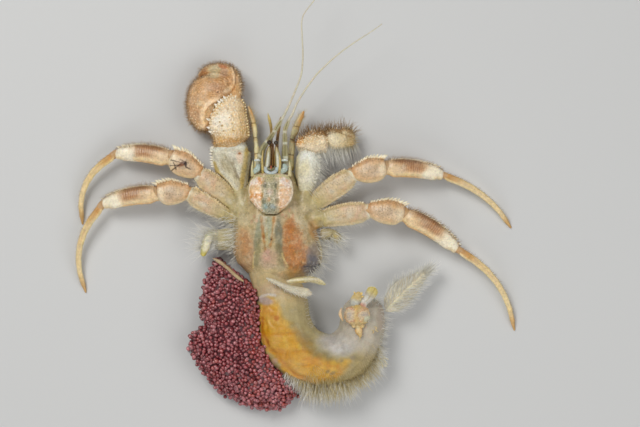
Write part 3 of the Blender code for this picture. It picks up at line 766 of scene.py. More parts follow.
def paint_merus(k, _):
    k.lay((186, 172, 118), ramp(k.s, 0.55, 0.05))
    k.lay((214, 178, 146), 0.7 * k.blotch(0.9, 41, -0.1, 0.4), (k.s, 0.3, 0.6))
    # painted highlight: a pale lumpy strip along the middle of the upper side
    k.lay((216, 210, 196), 0.6 * ramp(np.abs(k.t + 0.15), 0.45, 0.1) * k.blotch(1.1, 5, -0.2, 0.4))
    k.lay((232, 212, 168), 0.9, (np.abs(k.t), 0.62, 0.9), (k.s, 0.1, 0.3))
    k.lay((226, 222, 200), 0.85, (k.s, 0.87, 0.95))
    k.speckle = 0.6 * ramp(np.abs(k.t - 0.25), 0.65, 0.2) * ramp(k.s, 0.2, 0.5) * ramp(k.s, 0.93, 0.8)


def paint_carpus(k, _):
    far = np.hypot((k.s - 0.5) / 0.42, (k.t + 0.05) / 0.65)
    k.lay((202, 178, 150), 0.85, (far, 1.05, 0.4))
    k.lay((214, 156, 104), 0.35 * ramp(k.t, 0.4, 0.8) + 0.45 * ramp(k.s, 0.2, 0.03))
    k.lay((242, 226, 196), 0.8, (k.s, 0.66, 0.86), (k.t, 0.7, 0.1))
    k.lay((240, 216, 172), 0.85, (k.t, -0.6, -0.9))
    k.lay((236, 210, 172), 0.5 * k.blotch(0.6, 43, 0.1, 0.5))
    k.lay((150, 92, 50), 0.85, (k.s, 0.955, 0.99))
    k.speckle = 0.6 * ramp(far, 1.2, 0.5)


def paint_propodus(k, look):
    band = tone(look.band)
    streaks = 0.5 + 0.5 * np.sin(k.s * k.course.span * 2 * np.pi / 0.26 + 1.5 * noise(k.points, 0.4, 8))
    wander = 0.12 * lumps(k.points, 0.8, 19)
    k.lay((238, 214, 174), 0.6, (np.abs(k.t + 0.1), 0.4, 0.1), (k.s, 0.32, 0.12))
    middle = ramp(np.abs(k.t - 0.1) + wander, 0.75, 0.1) * ramp(k.s + wander, 0.22, 0.5)
    k.lay(band, middle * ramp(k.s, 0.78, 0.55) * (0.4 + 0.4 * streaks))
    front = ramp(k.t + wander, 0.2, 0.7) * ramp(k.s, 0.04, 0.3) * ramp(k.s + wander, 0.72, 0.5)
    k.lay(band * 0.92, front * (0.45 + 0.35 * streaks))
    k.lay((244, 218, 170), 0.9, (k.t, -0.3, -0.7))
    k.lay((232, 180, 120), 0.7, (k.t, -0.75, -0.95))
    edge = k.s + 0.04 * noise(k.points, 0.6, 9) - 0.05 * k.t
    k.lay(tone(look.cream), 0.97, (edge, 0.61, 0.75))
    k.lay((236, 212, 160), 0.6, (k.s, 0.8, 0.9), (k.t, -0.3, -0.8))
    k.lay((150, 92, 50), 0.85, (k.s, 0.03, 0.005))
    k.lay((226, 172, 116), 0.7, (k.s, 0.975, 0.995))
    k.speckle = 0.4 * ramp(k.s, 0.1, 0.25) * ramp(k.s, 0.72, 0.6) * ramp(k.t, -0.5, 0)


def paint_dactyl(k, look):
    amber = tone(look.amber)
    k.lay((206, 178, 140), 0.5, (np.abs(k.t), 0.55, 0.2), (k.s, 0.85, 0.3))
    k.lay((244, 222, 170), 0.9 * ramp(k.t, -0.35, -0.7) + 0.55 * ramp(k.t, 0.5, 0.8))
    k.lay(amber, 0.85, (k.s, 0.32, 0.04), (k.t, -0.7, -0.2))
    k.lay(amber * 0.94, 0.6, (k.s, 0.78, 0.98))


RIB_WIDTH, RIB_RISE = 0.32, 0.016  # mm: from rib to rib across the legs, and their height
LEG_PARTS = {  # article: paint, ground colour (or the look's), ends (before, after, widening), spine rows
    "merus": (paint_merus, (206, 184, 146), (0.0, 0.26, 0.42), ((0.25, 0.95, 18, 0.18, 0.26, 0.1, 0.3),)),
    "carpus": (paint_carpus, (218, 184, 144), (0.4, 0.2, 0.2),
               ((0.06, 0.97, 12, 0.42, None, 0.21, 0.25), (0.12, 0.95, 11, 0.34, 0.6, 0.15, 0.7))),
    "propodus": (paint_propodus, None, (0.3, 0.26, 0.42),
                 ((0.04, 0.97, 24, 0.34, 0.4, 0.12, 0.25), (0.08, 0.95, 20, 0.2, 0.26, 0.09, 0.7))),
    "dactyl": (paint_dactyl, (236, 212, 160), (0.26, 0.0, 0.5), ()),
}

BRANCHES = (((0.3, 0.1), (-1.3, 0.5)), ((-0.3, -0.1), (-1.4, -0.15)), ((-0.2, 0), (-1.3, -0.75)),
            ((0.5, 0.2), (-0.2, 0.55)), ((0.4, -0.3), (1.0, -0.6)), ((-1.0, 0.2), (-0.7, -0.6)))


def spine_row(skin, row, look):
    """Spines along a margin, growing larger towards the far end.

    The row holds its first and last share of the length, count, lengths, radius and level. The
    last length is the look's own where the row has none."""
    low, high, count, small, large, radius, level = row
    large = look.spine / MM if large is None else large
    picks = skin.margin(np.linspace(low, high, count), level)
    rise = np.linspace(0, 1, count) ** 1.5
    ways = unit(skin.normals[picks] * [1, 1, 0.6] + 0.25 * UP) + 0.75 * skin.course.aim
    shape = sprouts(skin.points[picks] - skin.normals[picks] * ROOT, ways, small + (large - small) * rise,
                    radius * (0.8 + 0.5 * rise), sides=7, steps=4, taper=0.9,
                    bend=np.tile(skin.course.aim * 0.12, (count, 1)))
    shape.fade((214, 164, 110), (255, 244, 214), ramp(shape.share, 0, 0.35))
    return shape


def plug(course_a, course_b, colour, reach=0.07, swell=0.95):
    """The soft ring of skin between two articles."""
    ends = [course_a.place(1 - reach), course_a.place(0.985), course_b.place(0.015), course_b.place(reach)]
    wide = np.minimum(course_a.half(1 - reach), course_b.half(reach)) * swell
    places = curve_through([ends[0], (ends[1] + ends[2]) / 2, ends[3]], 9)
    return tube(places, np.full(9, wide[0]), sides=20, flat=min(1, wide[1] / wide[0]), colour=colour)


def add_socket(course, reach=0.22, length=1.6, swell=1.25, drop=0.2):
    """The soft base of a limb, as a shape for the trunk's skin to grow over."""
    inner, outer = course.place(0.0), course.place(reach)
    inward = unit((inner - outer) * [1, 1, 0.3])
    wide = course.half(reach + 0.02)
    SOCKETS.append(tube(curve_through([outer, inner, inner + inward * length - UP * drop], 14),
                        np.linspace(0.85, swell, 14) * wide[0], sides=28, flat=wide[1] / wide[0]))


def make_leg(name, turn, cell, look):
    """The four skins of a walking leg, with their spines, and the skin between them."""
    previous, courses = np.array([0.0, 0.5, 3.0]), []
    for k, (article, (paint, ground, ends, rows)) in enumerate(LEG_PARTS.items()):
        node, claw = f"{name}_{article}", article == "dactyl"
        skin = Skin([node], tone(look.peach) if ground is None else ground, previous, turn,
                    0.07 if claw else 0.08, 6 if claw else 12, rough=0.012 if claw else 0.02,
                    lump=0.25, seed=k, ends=ends, cell=cell + k)
        skin.push(0.03)
        if claw:
            skin.push(-0.05 * ramp(np.abs(skin.t), 0.4, 0.1) * skin.up(0.2, 0.7) * ramp(skin.s, 0.95, 0.7))
        else:
            if article == "carpus":
                bulge = 0.88 + 0.19 * np.sin(np.pi * np.clip(skin.s, 0, 1) ** 1.3)
                skin.points = skin.course.scaled(skin.points, bulge - 0.06 * ramp(skin.s, 0.2, 0))
            wander = 1.5 * noise(skin.points, 0.6, 4)
            ribs = np.sin(skin.s * skin.course.span * 2 * np.pi / RIB_WIDTH + wander)
            within = ramp(skin.s, 0.1, 0.2) * ramp(skin.s, 0.95, 0.85)
            skin.push(RIB_RISE * ribs * ramp(skin.t, -0.4, 0.1) * within)
        paint(skin, look)
        if node == "leg2_left_carpus":
            mark = skin.course.place(0.58, -0.05)[:2]  # a dark branched mark
            skin.patch((120, 66, 34), mark, (0.5, 0.24), 25, 0.85, 0.8, 0.5)
            skin.patch((40, 28, 26), mark + [0.42, 0.02], (0.16, 0.3), 0, 0.9, 0.8, 0.5)
            for branch in BRANCHES:
                skin.stroke((50, 34, 28), [mark + np.array(end) for end in branch], 0.1, 0.85, 0.6, 0.3)
        skin.make(f"{node}_skin", "limb_shell", "limb", [spine_row(skin, row, look) for row in rows])
        previous = spot(node)
        courses.append(skin.course)
    rings = [plug(a, b, (198, 160, 116)) for a, b in zip(courses[:-1], courses[1:])]
    add_socket(courses[0])
    piece(f"{name}_joints", joined(rings), MATERIALS["body_skin"])


class CRAB_OT_legs(bpy.types.Operator):
    """Makes the four walking legs"""

    bl_idname = "crab.legs"
    bl_label = "Make the walking legs"

    def execute(self, context):
        for k, (name, turn) in enumerate(LEGS.items()):
            make_leg(name, turn, 4 * k, looks()[0])
        return {"FINISHED"}


# ---- claws

FINGER_RIDGE = [(-4.71, 19.6), (-4.4, 18.8), (-4.42, 17.8), (-4.85, 16.95)]
HAND_MIDDLE = (-6.7, 15.9)
HAND_INSET = (  # way round the big hand in degrees, and how far its outline is drawn in
    (-180, 0.12), (-150, 0.3), (-120, 0.45), (-70, 0.3), (0, 0.5), (60, 0.4), (90, 0.4), (115, 0.15),
    (150, 0), (180, 0.12),
)
PALM_RIDGE = [(-6.3, 15.85), (-7, 15.5), (-7.55, 15.15), (-7.95, 14.5), (-8.1, 13.6), (-8, 12.7)]
CLAW_MERUS_MARKS = (  # the edges and the pale band of the big claw's merus
    ((232, 206, 182), (-3.75, 9.1), (0.4, 0.8), 5, 0.8, 0.9, 0.3),
    ((168, 108, 60), (-3.76, 9.55), (0.15, 0.12), 0, 0.9, 0.8, 0.3),
    ((208, 184, 114), [(-6.8, 8.4), (-6.3, 7.3), (-5.2, 6), (-3.9, 4.6)], 0.5, 0.85),
    ((206, 180, 108), [(-2.75, 10.9), (-3.1, 8.6), (-3.6, 5.6), (-3.8, 4.2)], 0.55, 0.85),
    ((222, 226, 216), [(-7, 10.3), (-5.2, 10.35), (-3.2, 10.6)], 0.7, 0.85, 0.7, 0.4),
    ((226, 218, 190), (-4.55, 6.5), (0.6, 1.6), 25, 0.6, 1, 0.3),
)
CLAW_CARPUS_PALE = (  # the pale middle of the big claw's carpus
    ((250, 240, 224), (-5.75, 13.3), (1.35, 1.1), 20, 0.95, 1, 0.45),
    ((240, 216, 176), (-5.2, 12.2), (1.2, 0.8), 0, 0.6, 0.9, 0.4),
    ((240, 214, 180), (-4.6, 15.2), (0.9, 1), 0, 0.6, 0.9, 0.4),
)
HAND_GROUND = (  # broad shades of the big hand
    ((196, 158, 118), (-6.2, 17.6), (1.9, 1.3), -20, 0.7, 1, 0.4),
    ((186, 138, 104), (-6.4, 17.2), (0.9, 0.7), 0, 0.5, 1, 0.5),
    ((206, 172, 138), (-9, 15.6), (0.8, 2.2), 0, 0.6, 0.9, 0.3),
    ((198, 160, 128), (-8.9, 14), (0.9, 1.2), 20, 0.5, 0.9, 0.4),
)
HAND_MARKS = (  # pale spots, and the marks round the finger's tip
    ((240, 226, 198), (-8.38, 15.35), (0.5, 0.4), 30, 0.75, 1, 0.6),
    ((240, 222, 196), (-5.2, 17), (0.6, 0.25), 40, 0.6, 1, 0.6),
    ((50, 34, 26), (-6.25, 16.72), (0.1, 0.08), 30, 0.8),
    ((150, 92, 32), (-7.85, 19), (0.95, 0.42), 32, 0.9, 0.9, 0.5),
    ((206, 150, 84), (-7.3, 19.3), (0.5, 0.25), 32, 0.6, 0.9, 0.5),
    ((66, 44, 18), (-8.2, 18.6), (0.12, 0.12), 0, 0.9),
    ((198, 196, 168), (-6.6, 19.45), (0.75, 0.5), 0, 0.8, 1, 0.5),
    ((204, 204, 184), (-6.9, 18.7), (1, 0.3), 10, 0.7, 1, 0.6),
    ((180, 112, 76), (-5.7, 19.8), (0.5, 0.3), -10, 0.75, 1, 0.5),
    ((176, 150, 140), (-5.6, 19), (0.5, 0.4), 0, 0.6, 1, 0.5),
)


def big_claw(look, rng):
    """The animal's left claw: merus, carpus, and the hand with its finger."""
    corner = tube([(-3.9, 7.4, 2.2), (-3.8, 9, 2.3), (-3.8, 10.2, 2.4)], [0.7, 0.9, 0.95], 20, 1.2, 12)
    k = Skin(["claw_left_merus"], (212, 208, 188), (-3.4, 3.5), 1, 0.085, 12, lump=0.4, seed=1,
             ends=(0, 0.4, 0.3), extras=[corner], cell=16)
    k.push(0.05)
    k.lay((222, 218, 202), k.blotch(0.8, 3, 0, 0.5) * 0.6)
    aside, along = k.x * 0.9 + k.y * 0.44, k.y * 0.9 - k.x * 0.44
    streaks = noise(np.stack([aside, along * 0.16, 0 * aside], 1), 0.13, 8) + 0.5 * lumps(k.points, 0.5, 4)
    for place, size in (((-5.2, 8.4), (0.75, 0.9)), ((-4.6, 7.3), (0.5, 1.3)), ((-4.1, 6.4), (0.3, 0.9))):
        k.patch((158, 144, 108), place, size, 32, 0.4, 1, 0.5)
        far = np.hypot(k.x - place[0], (k.y - place[1]) * 0.7)
        k.lay((112, 96, 66), 0.55, (far, size[1] * 1.2, 0.1), (streaks, 0, 0.7))
        k.lay((226, 220, 204), 0.6, (far, size[1] * 1.4, 0.3), (streaks, -0.2, -0.8))
    k.paint(CLAW_MERUS_MARKS)
    k.lay((204, 190, 142), 0.8, (k.y, 5.8, 3.8))
    k.speckle = 0.4 * ramp(k.y, 10.3, 8)
    edge = k.near([(-7.2 + 0.05 * i, 10.7 - 0.3 * i) for i in range(10)], edge=True)
    spines = k.cones(edge, np.linspace(0.36, 0.5, 10), 0.17, (246, 242, 228), (220, 208, 176),
                     (-0.7, 0.35, 0.15))
    k.make("claw_left_merus_skin", "claw_shell", "claw", [spines])

    k = Skin(["claw_left_carpus"], (232, 200, 152), (-5, 9), 1, 0.08, 8, grow=0.1, lump=0.35, rough=0.035,
             seed=2, ends=(0.3, 0, 0.15), cell=17)
    k.push(0.1)
    k.points[:, 0] += 0.45 * ramp(k.y, 12.8, 11.2) * ramp(k.x, -5, -7)
    x, y = k.x, k.y
    k.paint(CLAW_CARPUS_PALE)
    k.lay((206, 160, 98), 0.9, (y + 0.3 * noise(k.points, 0.6, 2), 11.9, 11))
    k.lay((222, 182, 122), 0.7, (x, -4, -3.4))
    k.lay((206, 164, 110), 0.5 * k.blotch(0.4, 12, 0.1, 0.5), (y, 12.6, 11.8))
    for px, py, wide in ((-5.75, 12.75, 0.16), (-6.35, 14.1, 0.15), (-5.6, 12.15, 0.1), (-4.6, 13.0, 0.16),
                         (-4.4, 12.2, 0.16), (-6.0, 13.2, 0.12), (-4.9, 13.7, 0.1), (-5.1, 14.7, 0.14)):
        k.patch((164, 122, 52), (px, py), (wide, wide * 0.7), 20, 0.85, 0.9, 0.3)
    k.grains(k.tilt > -0.2, 0.25, 0.14, 0.06, (252, 240, 214), rng, 0.55)
    row = [(-5.39, 15.97), (-5.75, 15.7), (-6.05, 15.45), (-6.4, 15.15), (-6.84, 14.7), (-7.1, 14.16),
           (-7.3, 13.44), (-7.45, 13.0), (-7.3, 12.5), (-7.05, 12.05)]
    bits = [k.cones(k.near(row), 0.52, 0.21, (255, 252, 242), (236, 216, 180), (-0.7, 0.5, 0.2))]
    inner = scatter(k.points, (k.tilt > 0.35) & (x < -4.2) & (y > 11.6), 0.38, rng)
    bits.append(k.cones(inner, rng.uniform(0.16, 0.3, len(inner)), 0.12, (255, 246, 228), (232, 206, 164),
                        (-0.3, 0.4, 0)))
    beads = k.near([(-3.3 + 0.04 * i, 16 - 0.33 * i) for i in range(14)])
    bits.append(k.cones(beads, 0.3, 0.16, (252, 234, 186), (206, 158, 90), (0.4, 0.2, 0)))
    base = k.near([(-6.95 + 0.3 * i, 10.85 + 0.01 * i) for i in range(14)])
    bits.append(k.cones(base, 0.18, 0.11, (226, 172, 104), (176, 112, 54), (0, -0.5, 0)))
    k.make("claw_left_carpus_skin", "claw_shell", "claw", bits)

    web = tube([(-4.5, 18.7, 2.2), (-4.2, 17.3, 2.4), (-4.25, 15.8, 2.5)], [0.8, 0.95, 0.9], 20, 0.9, 12)
    k = Skin(["claw_left_palm", "claw_left_finger"], tone(look.claw), (-7, 13), 1, 0.08, 12, grow=0.13,
             lump=0.5, rough=0.04, seed=3, extras=[web], cell=18)
    k.push(0.05)
    off = k.points[:, :2] - HAND_MIDDLE
    inset = np.interp(np.degrees(np.arctan2(off[:, 1], off[:, 0])), *zip(*HAND_INSET))
    k.points[:, :2] -= off * (inset / 4.2)[:, None]
    x, y = k.x, k.y
    far = np.hypot(x + 6.7, (y - 14.9) * 0.95) + 0.3 * noise(k.points, 1.2, 6) + 0.1 * noise(k.points, 0.4, 8)
    lines = np.sin(far * 2 * np.pi / 0.25)
    field = k.up() * ramp(y, 19.2, 18.4) * ramp(x, -4.2, -5)
    k.push(0.01 * lines * field)
    k.paint(HAND_GROUND)
    k.lay((156, 110, 74), 0.5 * ramp(lines, 0.1, -0.9) * field * k.blotch(0.6, 16, -0.4, 0.3))
    k.lay((240, 214, 180), 0.35 * k.dapple(0.25, 17, 0.2, 0.6))
    k.paint(HAND_MARKS)
    k.crease(PALM_RIDGE, 0.55, 0.16)
    hollow = [(px + 0.42, py - 0.3) for px, py in PALM_RIDGE[:-1]]
    k.crease(hollow, 0.4, -0.12)
    k.stroke((255, 230, 196), PALM_RIDGE, 0.68, 0.95, 0.7, 0.3)
    # painted shade: a dark brown line on the lower right side of the palm ridge, and grey-tan down the
    # pressed-in hollow beside it
    k.stroke((160, 106, 62), [(px + 0.22, py - 0.16) for px, py in PALM_RIDGE[:4]], 0.14, 0.5, 0.7, 0.4)
    k.stroke((190, 168, 132), hollow, 0.4, 0.6, 0.7, 0.3)
    k.crease(FINGER_RIDGE, 0.25, 0.09)
    k.stroke((240, 212, 172), FINGER_RIDGE, 0.24, 0.85, 0.6, 0.3)
    # painted shade: a dark line down the shallow groove where finger and palm meet
    k.stroke((166, 122, 80), [(px + 0.24, py) for px, py in FINGER_RIDGE], 0.16, 0.7, 0.7, 0.4)
    k.crease([(px + 0.24, py) for px, py in FINGER_RIDGE], 0.2, -0.06)
    k.lay((220, 182, 128), 0.6, (x, -4.3, -3.9))
    outer = [(-3.8, 17.2), (-3.75, 18.1), (-4.1, 19.1), (-4.8, 19.95), (-6, 20.3)]
    k.stroke((226, 186, 134), outer, 0.3, 0.7)
    ridge_far = line_distance(k.points, PALM_RIDGE)[0]
    k.grains((k.tilt > -0.4) & (ridge_far > 0.35), 0.26, 0.12, 0.035, (246, 220, 180), rng, 0.4)
    lower_far = line_distance(k.points, [(-8.9, 15.4), (-9.3, 13.5), (-8.2, 12), (-7.3, 11.7)])[0]
    lower = scatter(k.points, (lower_far < 0.35) & (k.tilt > 0.1), 0.36, rng)
    rim_far = line_distance(k.points, [(-3.6, 16.8), (-3.55, 18.1), (-3.9, 19.3), (-4.9, 20.2)])[0]
    rim = scatter(k.points, rim_far < 0.22, 0.3, rng)
    outline = scatter(k.points, (np.abs(k.tilt) < 0.5) & (x < -5), 0.34, rng)
    bits = [k.cones(lower, 0.17, 0.11, (246, 222, 182), (216, 180, 136)),
            k.cones(rim, 0.2, 0.12, (250, 226, 182), (200, 150, 94)),
            k.cones(outline, 0.14, 0.1, (240, 212, 168), (206, 166, 120), (0, 0, 0.3))]
    k.deepen((1.0, 0.965, 0.92))
    k.make("claw_left_hand_skin", "claw_shell", "claw", bits)


def small_claw(rng):
    """The animal's right claw: merus, carpus, palm and finger."""
    k = Skin(["claw_right_merus"], (226, 222, 204), (4, 4), -1, 0.085, 12, lump=0.35, seed=5,
             ends=(0, 0.3, 0.35), cell=20)
    k.push(0.04)
    k.patch((238, 240, 232), (4.5, 9.2), (1.3, 1.1), 0, 0.9, 0.9, 0.3)
    k.patch((222, 214, 178), (3.9, 7.8), (0.6, 1.2), -10, 0.7, 0.9, 0.4)
    k.lay((198, 190, 146), 0.85, (k.y, 6.8, 4.3))
    k.lay((206, 192, 146), 0.6, (k.x, 3.5, 2.9))
    k.speckle = 0.12 * np.ones(len(k.points))
    edge = k.near([(5.8, 9.5), (5.8, 9.1), (5.75, 8.7), (5.65, 8.3), (5.5, 7.9), (5.35, 7.5), (5.2, 7.1),
                   (5.05, 6.6), (4.9, 6.2)], edge=True)
    spines = k.cones(edge, 0.42, 0.16, (254, 250, 238), (232, 224, 200), (0.8, 0.3, 0.1))
    k.make("claw_right_merus_skin", "claw_shell", "pale_claw", [spines])

    k = Skin(["claw_right_carpus"], (214, 184, 140), (4.5, 10), -1, 0.075, 8, grow=0.1, rough=0.035,
             lump=0.3, seed=6, ends=(0.3, 0.3, 0.3), cell=21)
    k.push(0.08)
    k.lay((240, 222, 190), 0.6 * k.blotch(0.5, 3, 0, 0.4))
    k.lay((206, 140, 76), 0.7 * ramp(k.t, 0.45, 0.85) + 0.7 * ramp(k.x, 3.9, 3.4))
    k.lay((238, 226, 204), 0.6, (k.t, 0.1, -0.5))
    k.grains(k.tilt > -0.3, 0.24, 0.13, 0.06, (252, 236, 204), rng, 0.6)
    bits = [k.cones(k.margin(np.linspace(0.08, 0.97, 11), 0.4), 0.34, 0.14, (250, 232, 194), (206, 150, 88),
                    (0.2, 0.4, 0.1))]
    inner = scatter(k.points, (k.tilt > 0.4) & (k.t > -0.3), 0.36, rng)
    bits.append(k.cones(inner, 0.2, 0.11, (252, 238, 208), (226, 196, 152), (-0.1, 0.4, 0)))
    k.make("claw_right_carpus_skin", "claw_shell", "pale_claw", bits)

    bridge = tube([(5.4, 11.1, 2.2), (6.5, 11.3, 2.2), (8.6, 11.7, 2.2)], [0.8, 0.85, 0.7], 20, 0.95, 12)
    k = Skin(["claw_right_palm", "claw_right_finger"], (222, 204, 164), (6, 11.2), -1, 0.075, 8, grow=0.12,
             lump=0.35, seed=7, ends=(0.25, 0, 0.3), extras=[bridge], cell=22)
    k.push(0.08)
    x = k.x
    k.patch((234, 224, 198), (7, 11.3), (1, 0.7), -20, 0.7, 0.9, 0.3)
    k.lay((196, 162, 106), 0.8, (x, 8.2, 9.6))
    k.lay((190, 132, 76), 0.5, (k.t, 0.5, 0.9))
    k.stroke((140, 92, 48), [(5.88, 12.1), (6.1, 11.2), (6.6, 10.2)], 0.18, 0.85, 0.6, 0.3)
    k.stroke((150, 110, 62), [(7.6, 12.2), (8.4, 11.8), (9.4, 11.5)], 0.12, 0.6, 0.6, 0.3)
    k.grains(k.tilt > -0.3, 0.26, 0.12, 0.045, (244, 228, 192), rng, 0.5)
    bits = [k.cones(k.margin(np.linspace(0.06, 0.92, 13), 0.4), 0.26, 0.11, (248, 230, 190), (206, 164, 108),
                    (0.2, 0.4, 0.1))]
    k.make("claw_right_hand_skin", "claw_shell", "pale_claw", bits)


class CRAB_OT_claws(bpy.types.Operator):
    """Makes the big left claw and the small right claw"""

    bl_idname = "crab.claws"
    bl_label = "Make the claws"

    def execute(self, context):
        rng = np.random.default_rng(11)
        big_claw(looks()[0], rng)
        small_claw(rng)
        for name, colour, slot in (("claw_left", (206, 170, 122), "claw"),
                                   ("claw_right", (214, 196, 152), "pale_claw")):
            merus, carpus, hand = (SKINS[f"{name}_{a}"].course for a in ("merus", "carpus", "palm"))
            rings = [plug(merus, carpus, colour, 0.12, 0.86), plug(carpus, hand, colour, 0.16, 0.75)]
            piece(f"{name}_joints", joined(rings), MATERIALS["body_skin"])
            add_socket(merus, 0.2, 1.5, 1.5, 0.0)
        return {"FINISHED"}


# ---- head

HEAD = {  # piece: colour, tip colour, start
    "maxilliped_left": ((250, 236, 184), (232, 176, 108), (-2.2, 5.5)),
    "maxilliped_right": ((218, 206, 154), (224, 166, 94), (2.1, 6)),
    "antennule_left": ((128, 92, 48), (206, 186, 116), (0, 8)),
    "antennule_right": ((128, 92, 48), (158, 128, 76), (0, 8)),
    "antenna_base_left": ((168, 162, 124), (196, 190, 156), (-1.2, 7)),
    "antenna_base_right": ((168, 162, 124), (196, 190, 156), (1.2, 7)),
    "eyestalk_left": ((194, 192, 168), (184, 168, 120), (0, 7)),
    "eyestalk_right": ((194, 192, 168), (184, 168, 120), (0, 7)),
}

WHIP_RINGS = 100  # short lengths that a long feeler is made of
MOUTH_LINES = {  # the middle of each mouth leg, by side
    1: [(-1.85, 7.7, 1.8), (-1.8, 9.5, 1.8), (-1.95, 11.2, 1.85), (-2.15, 12.6, 2.05), (-2.6, 14.6, 2.15)],
    -1: [(2.3, 7.7, 1.8), (2.15, 9.5, 1.8), (2.35, 11.3, 1.9), (2.65, 12.6, 2.1), (3.45, 14.2, 2.3)],
}


def make_head():
    """Eyestalks, eyes, feelers and mouth legs."""
    for i, (name, (colour, tip, start)) in enumerate(HEAD.items()):
        mouth, turn = name.startswith("maxilliped"), SIDES[name.rsplit("_", 1)[1]]
        nodes = (f"{name}_lower", f"{name}_upper") if mouth else (name,)
        core = [tube(MOUTH_LINES[turn], [0.24, 0.26, 0.26, 0.25, 0.2], 16, 1, 40)] if mouth else []
        k = Skin(nodes, colour, start, turn, 0.06, 5, grow=0.06 if mouth else 0, extras=core,
                 sink=0.07 if name.startswith("antennule") else 0, rough=0.012, lump=0.25, seed=i,
                 cell=24 + i)
        k.lay(tip, ramp(k.s, 0.6 if mouth else 0.45, 0.95))
        if mouth:
            # painted highlight: the side of each mouth leg that faces the key light made pale
            k.lay((246, 236, 196), 0.75, (k.t * turn, 0.3, -0.5), (k.s, 0.15, 0.35))
            k.lay((150, 124, 64), 0.6, (k.s, 0.12, 0))
            for joint in (0.26, 0.505, 0.73):
                k.push(-0.03 * np.exp(-((k.s - joint) / 0.012) ** 2))
                k.lay((132, 98, 50), 0.7, (np.abs(k.s - joint), 0.012, 0.004))
                k.lay((232, 204, 142), 0.5, (np.abs(k.s - joint + 0.03), 0.025, 0.01))
        if name.startswith("eyestalk"):
            k.lay((120, 104, 58), 0.8, (k.t * turn, -0.25, -0.7), (k.s, 0.05, 0.2))
            k.lay((226, 230, 226), 0.7, (np.abs(k.t - 0.1 * turn), 0.4, 0.1), (k.s, 0.9, 0.6))
        if name.startswith("antenna_base"):
            k.lay((116, 108, 62), 0.7, (np.abs(k.t), 0.4, 0.1))
            k.lay((206, 214, 212), 0.7, (np.abs(k.s - 0.08), 0.1, 0.03))
            for joint in (0.22, 0.5, 0.72):
                k.push(-0.05 * np.exp(-((k.s - joint) / 0.02) ** 2))
                k.lay((222, 224, 210), 0.8, (np.abs(k.s - joint - 0.03), 0.04, 0.01))
        k.make(f"{name}_skin", "feeler", "feeler")
    for side in ("left", "right"):
        k = Skin([f"eye_{side}"], (52, 38, 22), (0, 8), 1, 0.05, 4, rough=0)
        k.lay((110, 88, 48), 0.6, (k.y, 10.75, 10.5))
        k.make(f"eye_{side}_skin", "eye", "eye")
    for side, turn in SIDES.items():
        near, far = f"antenna_{side}_near", f"antenna_{side}_far"
        base = SKINS[f"antenna_base_{side}"].course
        line = [base.place(0.8), base.place(0.97)]
        for node, start in ((near, line[-1]), (far, None)):
            course = Course(cloud(node), start if start is not None else spot(near), turn, 14)
            line += [course.place(s) for s in (0.06, 0.25, 0.5, 0.75, 0.94)]
        whip = tube(line, np.r_[0.2, 0.17, np.linspace(0.13, 0.05, len(line) - 2)], 8, 1, 260,
                    (150, 142, 112))
        rings = 0.5 + 0.5 * np.sin(whip.share * 2 * np.pi * WHIP_RINGS)
        whip.lay((236, 232, 216), 0.35 + 0.65 * rings * ramp(whip.share, 0, 0.1))
        piece(f"antenna_{side}_whip", whip, MATERIALS["feeler"], [near, far])

    def rod(places, radii, colour, flat=0.6):
        return tube(places, radii, 12, flat, 18, colour)

    cup = [(-0.78, 7.95, 4.15), (-0.62, 7.45, 4.5), (-0.07, 7.2, 4.65), (0.48, 7.45, 4.5), (0.66, 7.95, 4.15)]
    scales = [rod(cup, [0.2, 0.22, 0.2, 0.22, 0.2], (186, 198, 200)),
              rod([(-0.5, 7.75, 4.3), (-0.07, 7.6, 4.35), (0.38, 7.75, 4.3)],
                  [0.2, 0.26, 0.2], (116, 112, 78)),
              rod([(-0.07, 7.6, 4.4), (-0.06, 8.1, 4.4)], [0.16, 0.1], (170, 92, 58)),
              rod([(-0.1, 7.9, 3.4), (0, 9.2, 3.5), (0.12, 10.7, 3.5)],
                  [0.4, 0.34, 0.12], (112, 74, 34), 0.5)]
    for x in (-0.16, 0.1, 0.3):
        scales.append(rod([(x, 8.1, 3.68), (x + 0.05, 9.3, 3.74), (x + 0.1, 10.4, 3.66)], [0.05, 0.06, 0.03],
                          (176, 132, 66), 1))
    for side in (-1, 1):
        centre = side * 1.6 - 0.05
        scales += [rod([(centre - 0.45, 7.3, 4.2), (centre, 7.75, 4.35), (centre - side * 0.1, 8.25, 4.2)],
                       [0.24, 0.36, 0.2], (178, 194, 186)),
                   rod([(centre - 0.34, 8.72, 4.2), (centre, 8.78, 4.4), (centre + 0.3, 8.72, 4.2)],
                       [0.12, 0.15, 0.12], (216, 224, 220)),
                   rod([(side * 0.95 - 0.05, 7.2, 4.3), (side * 1.05 - 0.05, 8.6, 4.3),
                        (side * 0.9 - 0.1, 9.9, 4.1)], [0.16, 0.14, 0.06], (186, 164, 96)),
                   rod([(side * 2.15 - 0.05, 6.9, 4.3), (side * 2.2 - 0.05, 7.9, 4.2),
                        (side * 2.15 - 0.05, 8.7, 4)], [0.24, 0.17, 0.05], (196, 186, 140))]
    piece("head_scales", joined(scales), MATERIALS["shield_shell"])


class CRAB_OT_head(bpy.types.Operator):
    """Makes the eyes, feelers and mouth legs"""

    bl_idname = "crab.head"
    bl_label = "Make the head"

    def execute(self, context):
        make_head()
        return {"FINISHED"}


# ---- back

# grooves down both sides of the heart, and the pale lines behind them
HEART_LINES = ([(-1.2, 2.2), (-1.02, 1), (-0.85, -0.4), (-0.73, -1.6)],
               [(0.38, 2), (0.22, 1), (0.1, 0), (-0.08, -1.4)])
SIDE_LINES = ([(-1.95, -1.9), (-2.1, -2.9), (-2.18, -3.9)], [(1.25, -2.1), (1.55, -2.9), (1.95, -3.7)])


